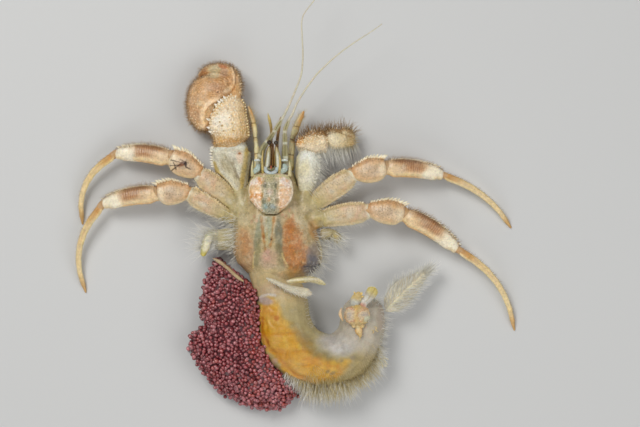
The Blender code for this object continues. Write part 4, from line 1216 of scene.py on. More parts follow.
def shield_collar(count=60, inset=0.12, radius=0.42):
    """A ring round the shield's edge, as a shape for the trunk's skin to grow up over."""
    corners = cloud("shield")
    off = corners[:, :2] - (corners[:, :2].max(0) + corners[:, :2].min(0)) / 2
    ways = 2 * np.pi * np.arange(count + 3) / count
    places = []
    for way in ways:
        aim = np.array([math.cos(way), math.sin(way)])
        out = off @ aim
        edge = corners[out > out.max() - 0.25]
        rim = edge[np.argmax(edge[:, :2] @ aim)]
        places.append([*(rim[:2] - inset * aim), edge[:, 2].min()])
    return tube(places, radius, 14)


BACK_GROUND = (  # the shoulders and sides of the carapace
    ((206, 196, 152), (-3.7, 2.8), (1, 2.6), 15, 0.6, 0.9, 0.3),
    ((214, 200, 164), (-3.3, 1), (0.7, 1.8), 8, 0.6, 0.9, 0.4),
    ((196, 160, 120), (-3.25, -2.2), (1.35, 2.7), 6, 0.8, 0.9, 0.25),
    ((204, 144, 92), (-3, -0.9), (0.6, 1.6), 4, 0.5, 1, 0.4),
    ((226, 212, 178), (3.4, 2.1), (1.2, 1.6), 15, 0.8, 0.9, 0.3),
    ((196, 128, 84), (2.3, 1.4), (0.5, 0.7), 0, 0.55, 1, 0.5),
)
BACK_GROOVES = (  # the grey-green grooves and the field between them
    ((142, 146, 118), (-1.5, 0.4), (0.35, 1.8), -8, 0.8, 0.8, 0.4),
    ((142, 138, 96), (-1.65, -2.3), (0.36, 1.7), -8, 0.75, 0.8, 0.4),
    ((128, 128, 110), (0.88, 0.2), (0.4, 2.2), 2, 0.85, 0.8, 0.35),
    ((138, 128, 90), (1.05, -2.3), (0.36, 1.5), 12, 0.8, 0.8, 0.35),
    ((200, 172, 144), (-0.3, -3), (1, 1.3), 0, 0.85, 0.8, 0.25),
    ((214, 168, 152), (-0.5, -2.3), (0.4, 0.8), 0, 0.6, 0.9, 0.4),
    ((214, 194, 146), (-0.1, -4.7), (2.8, 1), 0, 0.85, 0.9, 0.3),
    ((206, 150, 78), (1.7, -4.6), (0.8, 0.45), 0, 0.6, 0.9, 0.4),
    ((176, 180, 152), (-0.32, 0.7), (0.5, 1.7), 0, 0.85, 0.8, 0.3),
)
BACK_DOTS = (  # the middle line and two dark dots
    ((206, 184, 120), [(-0.6, 1.8), (-0.5, 0.4), (-0.45, -1)], 0.12, 0.4, 0.8, 0.8),
    ((70, 40, 20), (-0.02, -0.47), (0.13, 0.13), 0, 0.9, 0.8, 0.3),
    ((140, 84, 42), (-0.88, -0.2), (0.12, 0.24), 0, 0.6, 0.8, 0.4),
)


def make_body_skin(look):
    """The soft carapace and trunk, with the limb bases, as one skin."""
    collar = shield_collar()
    k = Skin(["carapace", "thorax"], tone(look.carapace), (0, 9), 1, 0.1, 10, grow=0.14, lump=0.6, seed=1,
             extras=[*SOCKETS, collar], cell=34)
    k.push(0.02)
    points = k.points
    x, y, z = points.T
    liver = tone(look.liver)
    k.lay((190, 174, 118), 0.85, (z, 3.6, 2.4))
    k.lay((190, 178, 130), 0.8, (np.abs(x + 0.1) - 0.12 * (4 - y), 2.6, 3.6), (y, 0.6, 1.8))
    k.paint(BACK_GROUND)
    k.patch(liver, (2.5, -0.6), (1.15, 2.3), 12, 0.9, 0.7, 0.25)
    k.patch(liver * [0.98, 1.02, 1.08], (2.9, -2.4), (1.7, 2.2), 15, 0.95, 0.6, 0.25, 7)
    k.patch(liver * [1, 0.96, 0.86], (2.55, -0.8), (0.7, 1.5), 12, 0.5, 1, 0.4, 9)
    k.patch((196, 138, 74), (4.95, 0.5), (0.55, 1.2), 10, 0.6, 0.9, 0.3)
    cells = np.abs(noise(points, 0.3, 14))
    warm = ramp(np.hypot((x - 2.8) / 1.9, (y + 1.5) / 3.2), 1.1, 0.7)
    warm += 0.4 * ramp(np.hypot((x + 3.2) / 1.3, (y + 2) / 2.6), 1.1, 0.7)
    k.lay(liver * [0.76, 0.78, 0.8], 0.5 * warm, (cells, 0.14, 0.03))
    k.lay(liver * [1.16, 1.24, 1.3], 0.35 * warm * k.dapple(0.26, 5, 0.15, 0.5))
    k.patch((140, 130, 130), (4.9, -2.2), (0.8, 1.5), -8, 0.65, 0.8, 0.3)
    k.patch((116, 114, 124), (4.75, -3.6), (1, 1.4), -8, 0.85, 0.7, 0.3)
    web = k.veins(0.45, 14, 0.1, 0.02)
    k.lay((190, 190, 188), 0.7 * web, (np.hypot(x - 4.8, (y + 4.1) * 0.9), 1.3, 0.8))
    k.stroke((66, 70, 86), [(3.8, -3.62), (4.6, -3.72), (5.1, -3.65), (5.6, -3.45)], 0.12, 0.8, 0.7, 0.3)
    k.lay((216, 208, 184), 0.6 * k.veins(0.4, 23, 0.12, 0.03),
          (np.hypot((x - 3.3) / 0.8, (y - 1.1) / 1.2), 1.2, 0.7))
    k.paint(BACK_GROOVES)
    for line in HEART_LINES:
        k.stroke((182, 128, 68), line, 0.26, 0.7, 0.9, 0.8, 21)
        k.crease(line, 0.2, -0.05)
    k.paint(BACK_DOTS)
    for line in SIDE_LINES:
        k.stroke((222, 198, 134), line, 0.16, 0.85, 0.8, 0.5)
        k.crease(line, 0.2, 0.04)
    for px, py in ((-2.0, 2.2), (-1.7, 1.7), (-2.3, 1.6), (1.7, 2.2), (2.1, 2.9), (1.3, 2.4), (2.5, 2.3)):
        k.patch((208, 150, 124), (px, py), (0.22, 0.14), 40 * px, 0.4, 1, 0.6)
    k.stroke((224, 212, 168), [(5.5, -0.6), (5.75, -1.5), (5.92, -2.7), (5.65, -3.9), (4.9, -4.7)], 0.22, 0.9,
             0.6, 0.2)
    k.stroke((214, 196, 146), [(-4.4, 3.6), (-4.75, 1.8), (-4.85, -0.8), (-4.6, -3)], 0.25, 0.5, 0.7, 0.3)
    k.lay((224, 210, 180), 0.32 * k.blotch(0.35, 31, 0.15, 0.45))
    k.lay((140, 122, 80), 0.3 * k.blotch(0.32, 37, 0.2, 0.5))
    for px, py in ((4.3, 2.2), (5.3, 1.6), (-4.2, 4.6)):
        k.patch((176, 156, 96), (px, py), (0.5, 0.3), 35, 0.5, 0.9, 0.4)
    k.speckle = 0.4 * k.blotch(1.2, 9, -0.1, 0.4) * ramp(z, 3, 4)
    k.lay((212, 190, 144), 0.75, (y, -3.9, -4.9), (np.abs(x + 0.1), 2.7, 1.7))
    k.push(0.02 * noise(points, 0.3, 51) * ramp(z, 3, 4))
    k.deepen((0.97, 0.96, 0.95))
    k.make("body_skin", "body_skin", "shell")


SHIELD_PALES = (  # middle, half sizes and colour of the pale patches at the sides
    ((-1.95, 6.3), (0.7, 0.7), (238, 222, 210)), ((1.75, 6.3), (0.75, 0.75), (240, 222, 210)),
    ((-2, 5.3), (0.7, 0.5), (224, 184, 134)), ((1.55, 5.1), (0.9, 0.5), (238, 204, 172)),
    ((-1.75, 3.9), (0.8, 0.8), (230, 194, 160)), ((1.5, 3.9), (0.8, 0.8), (232, 192, 156)),
    ((-1.3, 6.5), (0.3, 0.5), (222, 160, 104)),
)
SHIELD_DARKS = (  # middle, half sizes, colour and share of the marks down the middle
    ((-0.15, 6.5), (0.5, 0.4), (196, 184, 140), 0.7), ((-0.15, 5), (0.4, 0.45), (206, 182, 162), 0.8),
    ((-0.24, 4.2), (0.25, 0.3), (216, 158, 108), 0.6), ((-0.75, 5.85), (0.2, 0.42), (78, 78, 54), 0.85),
    ((0.52, 5.8), (0.2, 0.42), (78, 78, 54), 0.85), ((-0.72, 3.3), (0.35, 0.4), (150, 174, 172), 0.9),
    ((0.2, 3.3), (0.45, 0.4), (156, 168, 168), 0.85), ((0.66, 3.95), (0.22, 0.4), (96, 100, 72), 0.75),
    ((-0.85, 3.95), (0.2, 0.35), (106, 108, 84), 0.7), ((0.45, 5), (0.16, 0.4), (140, 138, 112), 0.6),
    ((-0.7, 4.9), (0.16, 0.4), (140, 138, 112), 0.6), ((-0.1, 2.85), (0.6, 0.3), (146, 144, 116), 0.6),
)


def make_shield(rng):
    """The hard shield over the head."""
    k = Skin(["shield"], (222, 200, 166), (0, 8), 1, 0.07, 6, rough=0.02, lump=0.3, seed=2, cell=35)
    k.push(0.04)
    points = k.points
    x, y, top = points[:, 0] + 0.1, points[:, 1], k.up(0.1, 0.6)
    wander = 0.2 * lumps(points, 0.6, 5)
    narrowing = 0.25 * ramp(y, 5.6, 7) + 0.1 * ramp(np.abs(y - 4.6), 0.5, 0.1)
    strip = ramp(np.abs(x) + wander + narrowing, 1.2, 0.45)
    for place, size, colour in SHIELD_PALES:
        k.patch(colour, place, size, 0, 0.9, 1, 0.45)
    for line in ([(-2.5, 4.5), (-1.8, 4.6), (-1.15, 4.42)], [(-2.3, 4.75), (-1.6, 4.75), (-1.2, 4.65)]):
        k.stroke((206, 134, 56), line, 0.36, 0.9, 0.9, 0.8)
    for line in ([(0.95, 5.25), (1.6, 5.3), (2.2, 5.2)], [(0.9, 4.5), (1.6, 4.42), (2.3, 4.5)],
                 [(-2.4, 5.75), (-1.6, 5.85)], [(1.0, 5.85), (1.8, 5.75)]):
        k.stroke((224, 172, 120), line, 0.14, 0.5, 0.8, 0.9)
        k.crease(line, 0.2, -0.03)
    k.lay((172, 166, 136), 0.85 * strip)
    for place, size, colour, share in SHIELD_DARKS:
        k.patch(colour, place, size, 0, share, 1, 0.6)
    cells = k.veins(0.32, 61, 0.12, 0.02)
    k.lay((112, 116, 92), 0.55 * cells * strip * top)
    k.lay((206, 164, 128), 0.35 * cells * (1 - strip) * top)
    k.lay((254, 242, 234), 0.65 * (1 - strip) * k.dapple(0.28, 12, 0.15, 0.45))
    k.lay((212, 150, 88), 0.45 * (1 - strip) * k.dapple(0.36, 19, 0.3, 0.5))
    for line in ([(-0.98, 6.8), (-1.0, 5.8), (-0.9, 4.8), (-1.1, 3.9), (-0.8, 2.9)],
                 [(0.84, 6.8), (0.86, 5.8), (0.76, 4.8), (0.96, 3.9), (0.6, 2.9)]):
        k.crease(line, 0.24, -0.07)
        k.stroke((150, 138, 92), line, 0.14, 0.4, 0.8, 0.7)
    for line in ([(-1.9, 4.2), (-1.6, 3.6), (-1.3, 3.2)], [(2.2, 4.1), (1.9, 3.7), (1.6, 3.4)]):
        k.stroke((252, 240, 226), line, 0.14, 0.8, 0.7, 0.4)
    k.stroke((196, 190, 140), [(-2.2, 6.6), (-1.7, 6.98), (-0.9, 6.85), (-0.07, 7), (0.8, 6.85), (1.5, 6.98),
                               (2, 6.6)], 0.26, 0.85, 0.7, 0.3)
    for side in (-1, 1):
        edge = [(side * 2.3 - 0.1, 6.4), (side * 2.55 - 0.1, 5.4), (side * 2.5 - 0.1, 4.2),
                (side * 1.9 - 0.1, 3.0)]
        k.stroke((238, 228, 206), edge, 0.2, 0.8, 0.8, 0.3)
        k.stroke((160, 128, 92), [(px + side * 0.16, py) for px, py in edge], 0.1, 0.35, 0.7, 0.4)
    k.grains(k.tilt > 0.3, 0.24, 0.1, 0.02, (250, 234, 214), rng, 0.3)
    k.push(0.03 * noise(points, 0.4, 52) * top)
    k.speckle = 0.8 * strip * top
    k.make("shield_skin", "shield_shell", "shell")


class CRAB_OT_back(bpy.types.Operator):
    """Makes the carapace and the shield"""

    bl_idname = "crab.back"
    bl_label = "Make the carapace and shield"

    def execute(self, context):
        make_body_skin(looks()[1])
        make_shield(np.random.default_rng(21))
        return {"FINISHED"}


# ---- hind legs

HIND = {  # node: (colour, tip colour, start, slimming)
    "leg4_left": ((206, 200, 172), (226, 220, 196), (-4, 0), 0),
    "leg4_right": ((188, 176, 136), (206, 196, 160), (5, 1), 0),
    "leg5_left": ((196, 172, 136), (212, 192, 150), (-7, -2.4), 0.02),
    "leg5_right_upper": ((196, 184, 132), (222, 210, 150), (1.5, -5.5), 0),
    "leg5_right_lower": ((226, 220, 200), (234, 228, 208), (-0.5, -5), 0),
}


def make_hind_legs():
    """The fourth and fifth legs."""
    for i, (node, (colour, tip, start, sink)) in enumerate(HIND.items()):
        root = [tube([(-6.4, -0.7, 2.7), (-5, -0.5, 2.8), (-3.6, -0.3, 3)], [1.1, 1.3, 1.2], 20, 0.6, 12)]
        k = Skin([node], colour, start, 1, 0.06, 6, sink=sink, rough=0.02, lump=0.3, seed=i, cell=36 + i,
                 extras=root if node == "leg4_left" else ())
        bits = []
        k.lay(tip, ramp(k.s, 0.5, 1))
        k.lay((240, 236, 216), 0.6, (k.t, 0.3, 0.9))
        if node == "leg4_left":
            k.lay((196, 186, 144), 0.7, (k.x, -6.6, -5.8))
            toe = tube([(-6.7, 0.1, 3.1), (-7.4, -0.3, 3.3), (-7.75, -1.3, 3.45), (-8.1, -2.35, 3.3)],
                       [0.5, 0.52, 0.52, 0.3], 14, 0.8, 20, (236, 230, 200))
            toe.lay((214, 200, 96), ramp(toe.share, 0.75, 0.95))
            toe.lay((160, 158, 104), 0.5, (toe.across, 0.2, 0.8))
            bits.append(toe)
        if node == "leg4_right":
            k.patch((214, 190, 96), (7.53, -0.35), (0.3, 0.3), 0, 0.8)
            k.stroke((120, 104, 66), [(6, -0.9), (6.7, -0.5), (7.1, 0.1)], 0.12, 0.7)
        if node == "leg5_left":
            k.points = k.course.scaled(k.points, 0.75)
            k.lay((166, 128, 92), 0.7, (np.abs(k.t), 0.5, 0.85))
            k.patch((216, 170, 104), (-4.75, -3.7), (0.6, 0.2), -45, 0.6, 0.9, 0.3)
            k.stroke((110, 80, 54), [(-5.9, -2.9), (-4.8, -3.8), (-3.4, -5)], 0.12, 0.6, 0.8, 0.5)
        if node == "leg5_right_upper":
            k.stroke((252, 246, 220), [(1.9, -5.25), (4, -5.05), (5.6, -5.1), (6.5, -5.6)], 0.3, 0.8)
            k.patch((196, 166, 96), (3.4, -5.5), (1, 0.2), 0, 0.6, 0.9, 0.3)
        if node == "leg5_right_lower":
            k.points = k.course.scaled(k.points, 1 + 0.3 * ramp(k.s, 0.5, 0.95))
        k.push(0.03 * noise(k.points, 0.5, 7 + i))
        k.deepen((0.92, 0.91, 0.89))
        k.make(f"{node}_skin", "body_skin", "pale_limb", bits)


class CRAB_OT_hind_legs(bpy.types.Operator):
    """Makes the small fourth and fifth legs"""

    bl_idname = "crab.hind_legs"
    bl_label = "Make the hind legs"

    def execute(self, context):
        make_hind_legs()
        return {"FINISHED"}


# ---- abdomen

ABDOMEN = [f"abdomen_{k}" for k in (1, 2, 3, 4)]
BELLY = [(-0.1, -2.6), (-0.1, -4.9), (-0.1, -7.5), (0.7, -10.6), (3.0, -13.8), (6.4, -15.9), (9.8, -15.6),
         (11.6, -12.6), (11.8, -9.2), (11.8, -6.5)]  # the abdomen's middle in plan, drawn out at both ends
BELLY_STEPS = 80  # places along the middle line
BELLY_LENGTH, BELLY_START, ABDOMEN_LENGTH = 29.1, 2.3, 24.1  # mm: that line, before the abdomen, and it
ABDOMEN_CELL = 41
OVARY = [(-0.45, -8.3), (-0.1, -9.8), (0.5, -11.4), (1.8, -13.5), (4.0, -15.4), (6.5, -16.1), (8.6, -15.1)]
OVARY_WIDE = (1.8, 2.9, 3.6, 3.7, 3.3, 2.4, 0.2)  # at each of those places
BELLY_MARKS = (  # shades beside the ovary and on the far bend
    ((190, 116, 40), [(-1.06, -9.7), (-1.05, -10.6), (-0.94, -11.4), (-0.24, -12.9)], 0.3, 0.8, 0.8, 0.5),
    ((206, 140, 60), [(0.1, -13.2), (1.4, -15), (3.2, -16.6), (5.2, -17.4)], 0.3, 0.5, 0.9, 0.8),
    ((212, 130, 50), (0.6, -9.6), (0.3, 0.3), 0, 0.8, 1, 0.4),
    ((156, 130, 72), (3.9, -12.35), (1.9, 0.6), -50, 0.6, 1.3, 0.4),
    ((146, 132, 86), (6, -13.9), (1.4, 0.6), -20, 0.5, 1.3, 0.5),
    ((208, 206, 202), (8, -12.7), (2.1, 1.3), -10, 0.95, 1.2, 0.35),
    ((206, 200, 182), (9.4, -11.4), (1.7, 1.2), 40, 0.8, 1.2, 0.4),
    ((206, 188, 146), (11.2, -12.8), (1.6, 1.2), 60, 0.8, 1, 0.35),
    ((196, 178, 130), (10.4, -14.9), (2, 1.2), 30, 0.7, 1, 0.4),
    ((192, 172, 114), [(6, -17.6), (7.4, -17.3), (9, -17), (10.8, -16)], 1, 0.7, 1, 0.5),
)
BELLY_EDGE = (  # marks where the eggs lie against the side
    ((226, 192, 176), (0.4, -14.7), (0.45, 0.3), 40, 0.7, 0.9, 0.4),
    ((196, 178, 186), (-0.7, -7.7), (0.85, 0.45), -10, 0.8, 0.8, 0.3),
    ((232, 224, 218), [(-1.75, -7.5), (-1.1, -7.1), (-0.4, -6.9), (0.4, -6.95)], 0.28, 0.9, 0.7, 0.4),
    ((150, 128, 100), [(0.4, -15.6), (1.6, -16.8), (2.94, -17.5), (5.06, -18.1)], 0.35, 0.6, 0.8, 0.5),
)


def make_abdomen(look):
    """The soft coiled abdomen as one skin, reaching in under the carapace."""
    waist = tube([(-0.1, -3.6, 2.5), (0, -4.8, 2.5), (0.1, -5.8, 2.5), (0.2, -7.4, 2.5)],
                 [2.9, 2.65, 2.3, 1.9], 32, 0.75, 20)
    k = Skin(ABDOMEN, tone(look.flesh), (0, -4), 1, 0.12, 12, grow=0.2, rough=0.05, lump=0.9, seed=3,
             extras=[waist], cell=ABDOMEN_CELL)
    k.push(0.1 * lumps(k.points, 2.4, 6))
    points = k.points
    middle = curve_through(BELLY, BELLY_STEPS)
    far, along = line_distance(points, middle)
    index = np.clip((along * (BELLY_STEPS - 1)).astype(int), 0, BELLY_STEPS - 2)
    way, off = (middle[1:] - middle[:-1])[index], points[:, :2] - middle[index]
    k.t = far * np.sign(way[:, 0] * off[:, 1] - way[:, 1] * off[:, 0])
    k.s = (along * BELLY_LENGTH - BELLY_START) / ABDOMEN_LENGTH
    k.unwrap = cell_unwrap(ABDOMEN_CELL, k.s, (np.arctan2(k.t, points[:, 2] - 2.4) / (2 * np.pi)) % 1)
    wander = 0.4 * lumps(points, 1.1, 4)
    ovary = tone(look.ovary)
    k.lay((220, 200, 154), ramp(k.s + 0.03 * wander, 0.22, 0.08))
    k.patch((206, 178, 150), (-0.4, -6.3), (1.2, 0.7), 0, 0.6, 1, 0.4)
    k.lay((196, 182, 136), 0.6, (k.t + wander, 0.2, 1.6), (k.s, 0.1, 0.2), (k.s, 0.6, 0.5))
    line = curve_through(OVARY, 40)
    gap, share = line_distance(points, line)
    wide = np.interp(share, np.linspace(0, 1, len(OVARY)), OVARY_WIDE) / 2
    soft = 0.3 + 0.5 * ramp(share, 0.6, 0.95) + 0.5 * ramp(k.t, -0.5, 1)
    yellow = ramp(gap + wander * (1 + share) + 0.15 * noise(points, 0.5, 9), wide + soft, wide - 0.2)
    k.lay((206, 178, 110), 0.6, (gap + wander, wide + 1, wide))
    k.lay(ovary, 0.97 * yellow)
    k.lay(ovary * [1.05, 1.14, 1.3], 0.6 * yellow * k.blotch(0.8, 15, 0.1, 0.5))
    k.lay(ovary * [0.95, 0.84, 0.6], 0.55 * yellow * k.blotch(1.2, 12, 0.05, 0.5))
    for size, share, seed in ((1.7, 0.4, 22), (1.0, 0.15, 28)):
        fold = ramp(np.abs(noise(points, size, seed)), 0.28, 0)
        k.lay(ovary * [0.92, 0.78, 0.5], share * fold * yellow)
        k.push(-0.07 * fold * yellow * k.up())
    k.paint(BELLY_MARKS)
    k.lay((210, 202, 184), 0.9, (k.s + 0.02 * wander, 0.76, 0.86))
    k.patch((192, 164, 150), (12.8, -9.6), (0.45, 1.6), 0, 0.7, 0.9, 0.3)
    k.patch((186, 184, 178), (11.6, -8.4), (0.7, 0.9), 0, 0.5, 1, 0.4)
    for px, py in ((6.5, -15.9), (7.1, -16.1), (8.2, -14.6)):
        k.patch((110, 108, 112), (px, py), (0.26, 0.16), 30, 0.4, 1.2, 0.9)
    k.paint(BELLY_EDGE)
    for px, py in ((3.2, -17.2), (4.6, -17.7), (9.5, -14.2), (12.2, -11.4)):
        k.patch((140, 134, 130), (px, py), (0.45, 0.3), 0, 0.45, 0.9, 0.5)
    k.lay((196, 186, 156), 0.35 * k.blotch(0.5, 33, 0.15, 0.5) * (1 - yellow))
    k.lay((156, 140, 96), 0.2 * k.blotch(0.7, 35, 0.15, 0.5) * (1 - yellow), (k.s, 0.15, 0.3))
    k.patch((208, 205, 204), (8, -12.6), (2.1, 1.3), -10, 0.7, 1, 0.25)
    k.lay((212, 206, 194), 0.55, (k.s + 0.02 * wander, 0.78, 0.88))
    k.speckle = 0.25 * (1 - yellow) * ramp(k.s, 0.2, 0.4) * ramp(k.s, 0.7, 0.6)
    k.push(0.025 * noise(points, 0.45, 60) * (1 - 0.5 * yellow))
    k.deepen((0.9, 0.89, 0.88))
    k.make("abdomen_skin", "soft_skin", "flesh")


def make_tail():
    """The tail plates, the tail legs and the two swimming legs."""
    k = Skin(["telson"], (214, 184, 130), (10, -7), 1, 0.06, 4, rough=0.03, lump=0.25, cell=42)
    k.push(0.08)
    for x, ring_colour in ((9.15, (196, 120, 104)), (10.85, (214, 150, 104))):
        far = np.hypot(k.x - x, k.y + 9.2)
        k.push(0.14 * ramp(far, 0.8, 0) * k.up(0.2, 0.7))
        far += 0.22 * noise(k.points, 0.45, 3) + 0.12 * noise(k.points, 0.2, 5)
        k.lay((226, 204, 182), 0.7, (far, 0.85, 0.6))
        k.lay(ring_colour, 0.55, (np.abs(far - 0.72), 0.12, 0.02))
        k.lay((188, 178, 178), 0.7, (far, 0.5, 0.1))
    k.patch((214, 222, 200), (11.1, -9.7), (0.45, 0.3), 30, 0.8, 0.9, 0.4)
    ridge = [(9.86, -8.2), (9.8, -9.2), (9.86, -10.2)]
    k.stroke((226, 190, 122), ridge, 0.42, 0.8)
    k.crease(ridge, 0.35, 0.12)
    k.grains(k.tilt > 0, 0.2, 0.1, 0.06, (248, 228, 176), np.random.default_rng(5), 0.55)
    blade = tube([(8.15, -8.45, 5.3), (7.98, -9.1, 5.4), (8.3, -9.95, 5.3)], [0.08, 0.2, 0.06], 10, 0.5, 14,
                 (224, 192, 148))
    k.deepen((0.93, 0.93, 0.92))
    k.make("telson_skin", "limb_shell", "tail", [blade])

    k = Skin(["telson_point"], (222, 190, 130), (9.9, -9), 1, 0.06, 4, rough=0.03, lump=0.2, seed=1, cell=43)
    k.push(0.02)
    k.lay((244, 226, 176), 0.7 * k.blotch(0.3, 2, 0, 0.4))
    k.lay((192, 130, 70), 0.6, (np.abs(k.t), 0.6, 1))
    knobs = np.array([(9.6, -10.45, 5.35), (10.05, -10.6, 5.45), (10.5, -10.5, 5.35)])
    bits = [balls(knobs, np.full(3, 0.32), np.ones((3, 3)))]
    for px, py in ((9.75, -11.0), (10.45, -11.0), (10.2, -11.7)):
        bits.append(tube([(px, py, 5.5), (px + 0.1, py - 0.25, 5.45), (px + 0.05, py - 0.5, 5.3)],
                         [0.07, 0.05, 0.02], 6, 1, 6))
    for line in ([(12.0, -10.6), (12.25, -10.8), (12.1, -11.0), (12.4, -11.2)],
                 [(11.7, -11.0), (11.9, -11.15), (11.8, -11.4)]):
        bits.append(tube([(px, py, 5.05) for px, py in line], [0.05] * len(line), 6, 1, 12))
    for bit in bits:
        bit.tint[:] = (222, 196, 140)
    k.make("telson_point_skin", "limb_shell", "tail", bits)

    root = tube([(9.7, -8.6, 5.3), (9.7, -7.5, 5.4)], [0.42, 0.5], 14, 0.7, 8)
    k = Skin(["uropod_left"], (206, 206, 196), (9.6, -9), 1, 0.06, 4, rough=0.03, lump=0.2, seed=2,
             extras=[root], cell=44)
    k.push(0.07)
    k.lay((222, 190, 118), 0.9, (k.s, 0.45, 0.75))
    k.lay((250, 232, 170), 0.6, (np.abs(k.t), 0.5, 0.9), (k.s, 0.5, 0.7))
    teeth = k.cones(k.near([(10.1, -7), (10.35, -6.8), (9.8, -6.85), (10.4, -7.15)], edge=True), 0.35, 0.12,
                    (250, 220, 140), (206, 150, 70), (0.3, 0.7, 0))
    k.deepen((0.92, 0.92, 0.92))
    k.make("uropod_left_skin", "limb_shell", "tail", [teeth])

    root = tube([(10.5, -8.7, 5.3), (10.85, -7.6, 5.4)], [0.36, 0.42], 14, 0.7, 8)
    k = Skin(["uropod_right"], (214, 206, 182), (10.4, -8.4), 1, 0.06, 4, rough=0.03, lump=0.2, seed=3,
             extras=[root], cell=45)
    k.push(0.07)
    k.points = k.course.scaled(k.points, 0.9 + 0.3 * ramp(k.s, 0.4, 0.9), 1)
    k.patch((226, 152, 122), (10.6, -8.1), (0.4, 0.35), 0, 0.85, 0.8)
    k.lay((232, 230, 220), 0.7, (np.abs(k.s - 0.45), 0.25, 0.1))
    k.lay((224, 204, 116), 0.9, (k.s, 0.62, 0.9))
    k.lay((150, 120, 66), 0.3, (np.abs(k.t - 0.1), 0.2, 0.05), (k.s, 0.2, 0.5))
    edge = k.near([(11.1, -5.95), (11.35, -5.85), (11.6, -5.9), (11.85, -6.1), (12.05, -6.35),
                   (12.15, -6.65)], edge=True)
    teeth = k.cones(edge, 0.16, 0.09, (246, 226, 140), (226, 190, 100), (0.5, 0.6, 0))
    k.deepen((0.92, 0.92, 0.94))
    k.make("uropod_right_skin", "limb_shell", "tail", [teeth])

    k = Skin(["pleopod_plume"], (232, 222, 192), (13, -9), 1, 0.06, 4, sink=0, rough=0.02, lump=0.3, cell=46)
    k.points = k.course.scaled(k.points, 1.15 - 0.6 * ramp(k.s, 0.3, 1))
    k.make("pleopod_plume_skin", "feeler", "pleopod")
    k = Skin(["pleopod_small"], (214, 210, 192), (12.3, -13.4), 1, 0.06, 4, sink=0.02, rough=0.02, lump=0.3,
             seed=1, cell=47)
    k.points = k.course.scaled(k.points, 0.5)
    fingers = []
    tips = ((13.75, -14.7, 0.16), (13.65, -15.3, 0.15), (13.1, -15.75, 0.16), (12.4, -15.6, 0.13))
    for px, py, wide in tips:
        fingers.append(tube([(12.5, -13.9, 2.1), ((px + 12.7) / 2, (py - 14.2) / 2, 2.15), (px, py, 1.8)],
                            [wide, wide, 0.04], 8, 1, 12, (232, 222, 184)))
    k.make("pleopod_small_skin", "feeler", "pleopod", fingers)


class CRAB_OT_abdomen(bpy.types.Operator):
    """Makes the abdomen, tail plates and swimming legs"""

    bl_idname = "crab.abdomen"
    bl_label = "Make the abdomen and tail"

    def execute(self, context):
        make_abdomen(looks()[1])
        make_tail()
        return {"FINISHED"}


# ---- eggs

EGGS_END, EGGS_WAY = np.array([-5.4, -3.6]), np.array([0.618, 0.786])  # where the eggs stop near the carapace
STRAY_EGGS = [(-9.95, -13.65, 0.23), (-0.82, -20.35, 0.23), (3.06, -19.18, 0.23), (-6.3, -18.7, 0.23),
              (1.9, -18.2, 0.23), (-1.35, -20.6, 0.23)]


def dented(points):
    """Points of the egg mass drawn in at its end, at the dent and along the upper part of its left side."""
    beyond = np.maximum((points[:, :2] - EGGS_END) @ EGGS_WAY, 0)
    points[:, :2] -= beyond[:, None] * EGGS_WAY
    inward = 1.35 * np.exp(-((points[:, 1] + 10.5) / 0.75) ** 2) + 0.4 * ramp(points[:, 1], -10.5, -9)
    points[:, 0] += inward * ramp(points[:, 0], -6, -9)
    return points


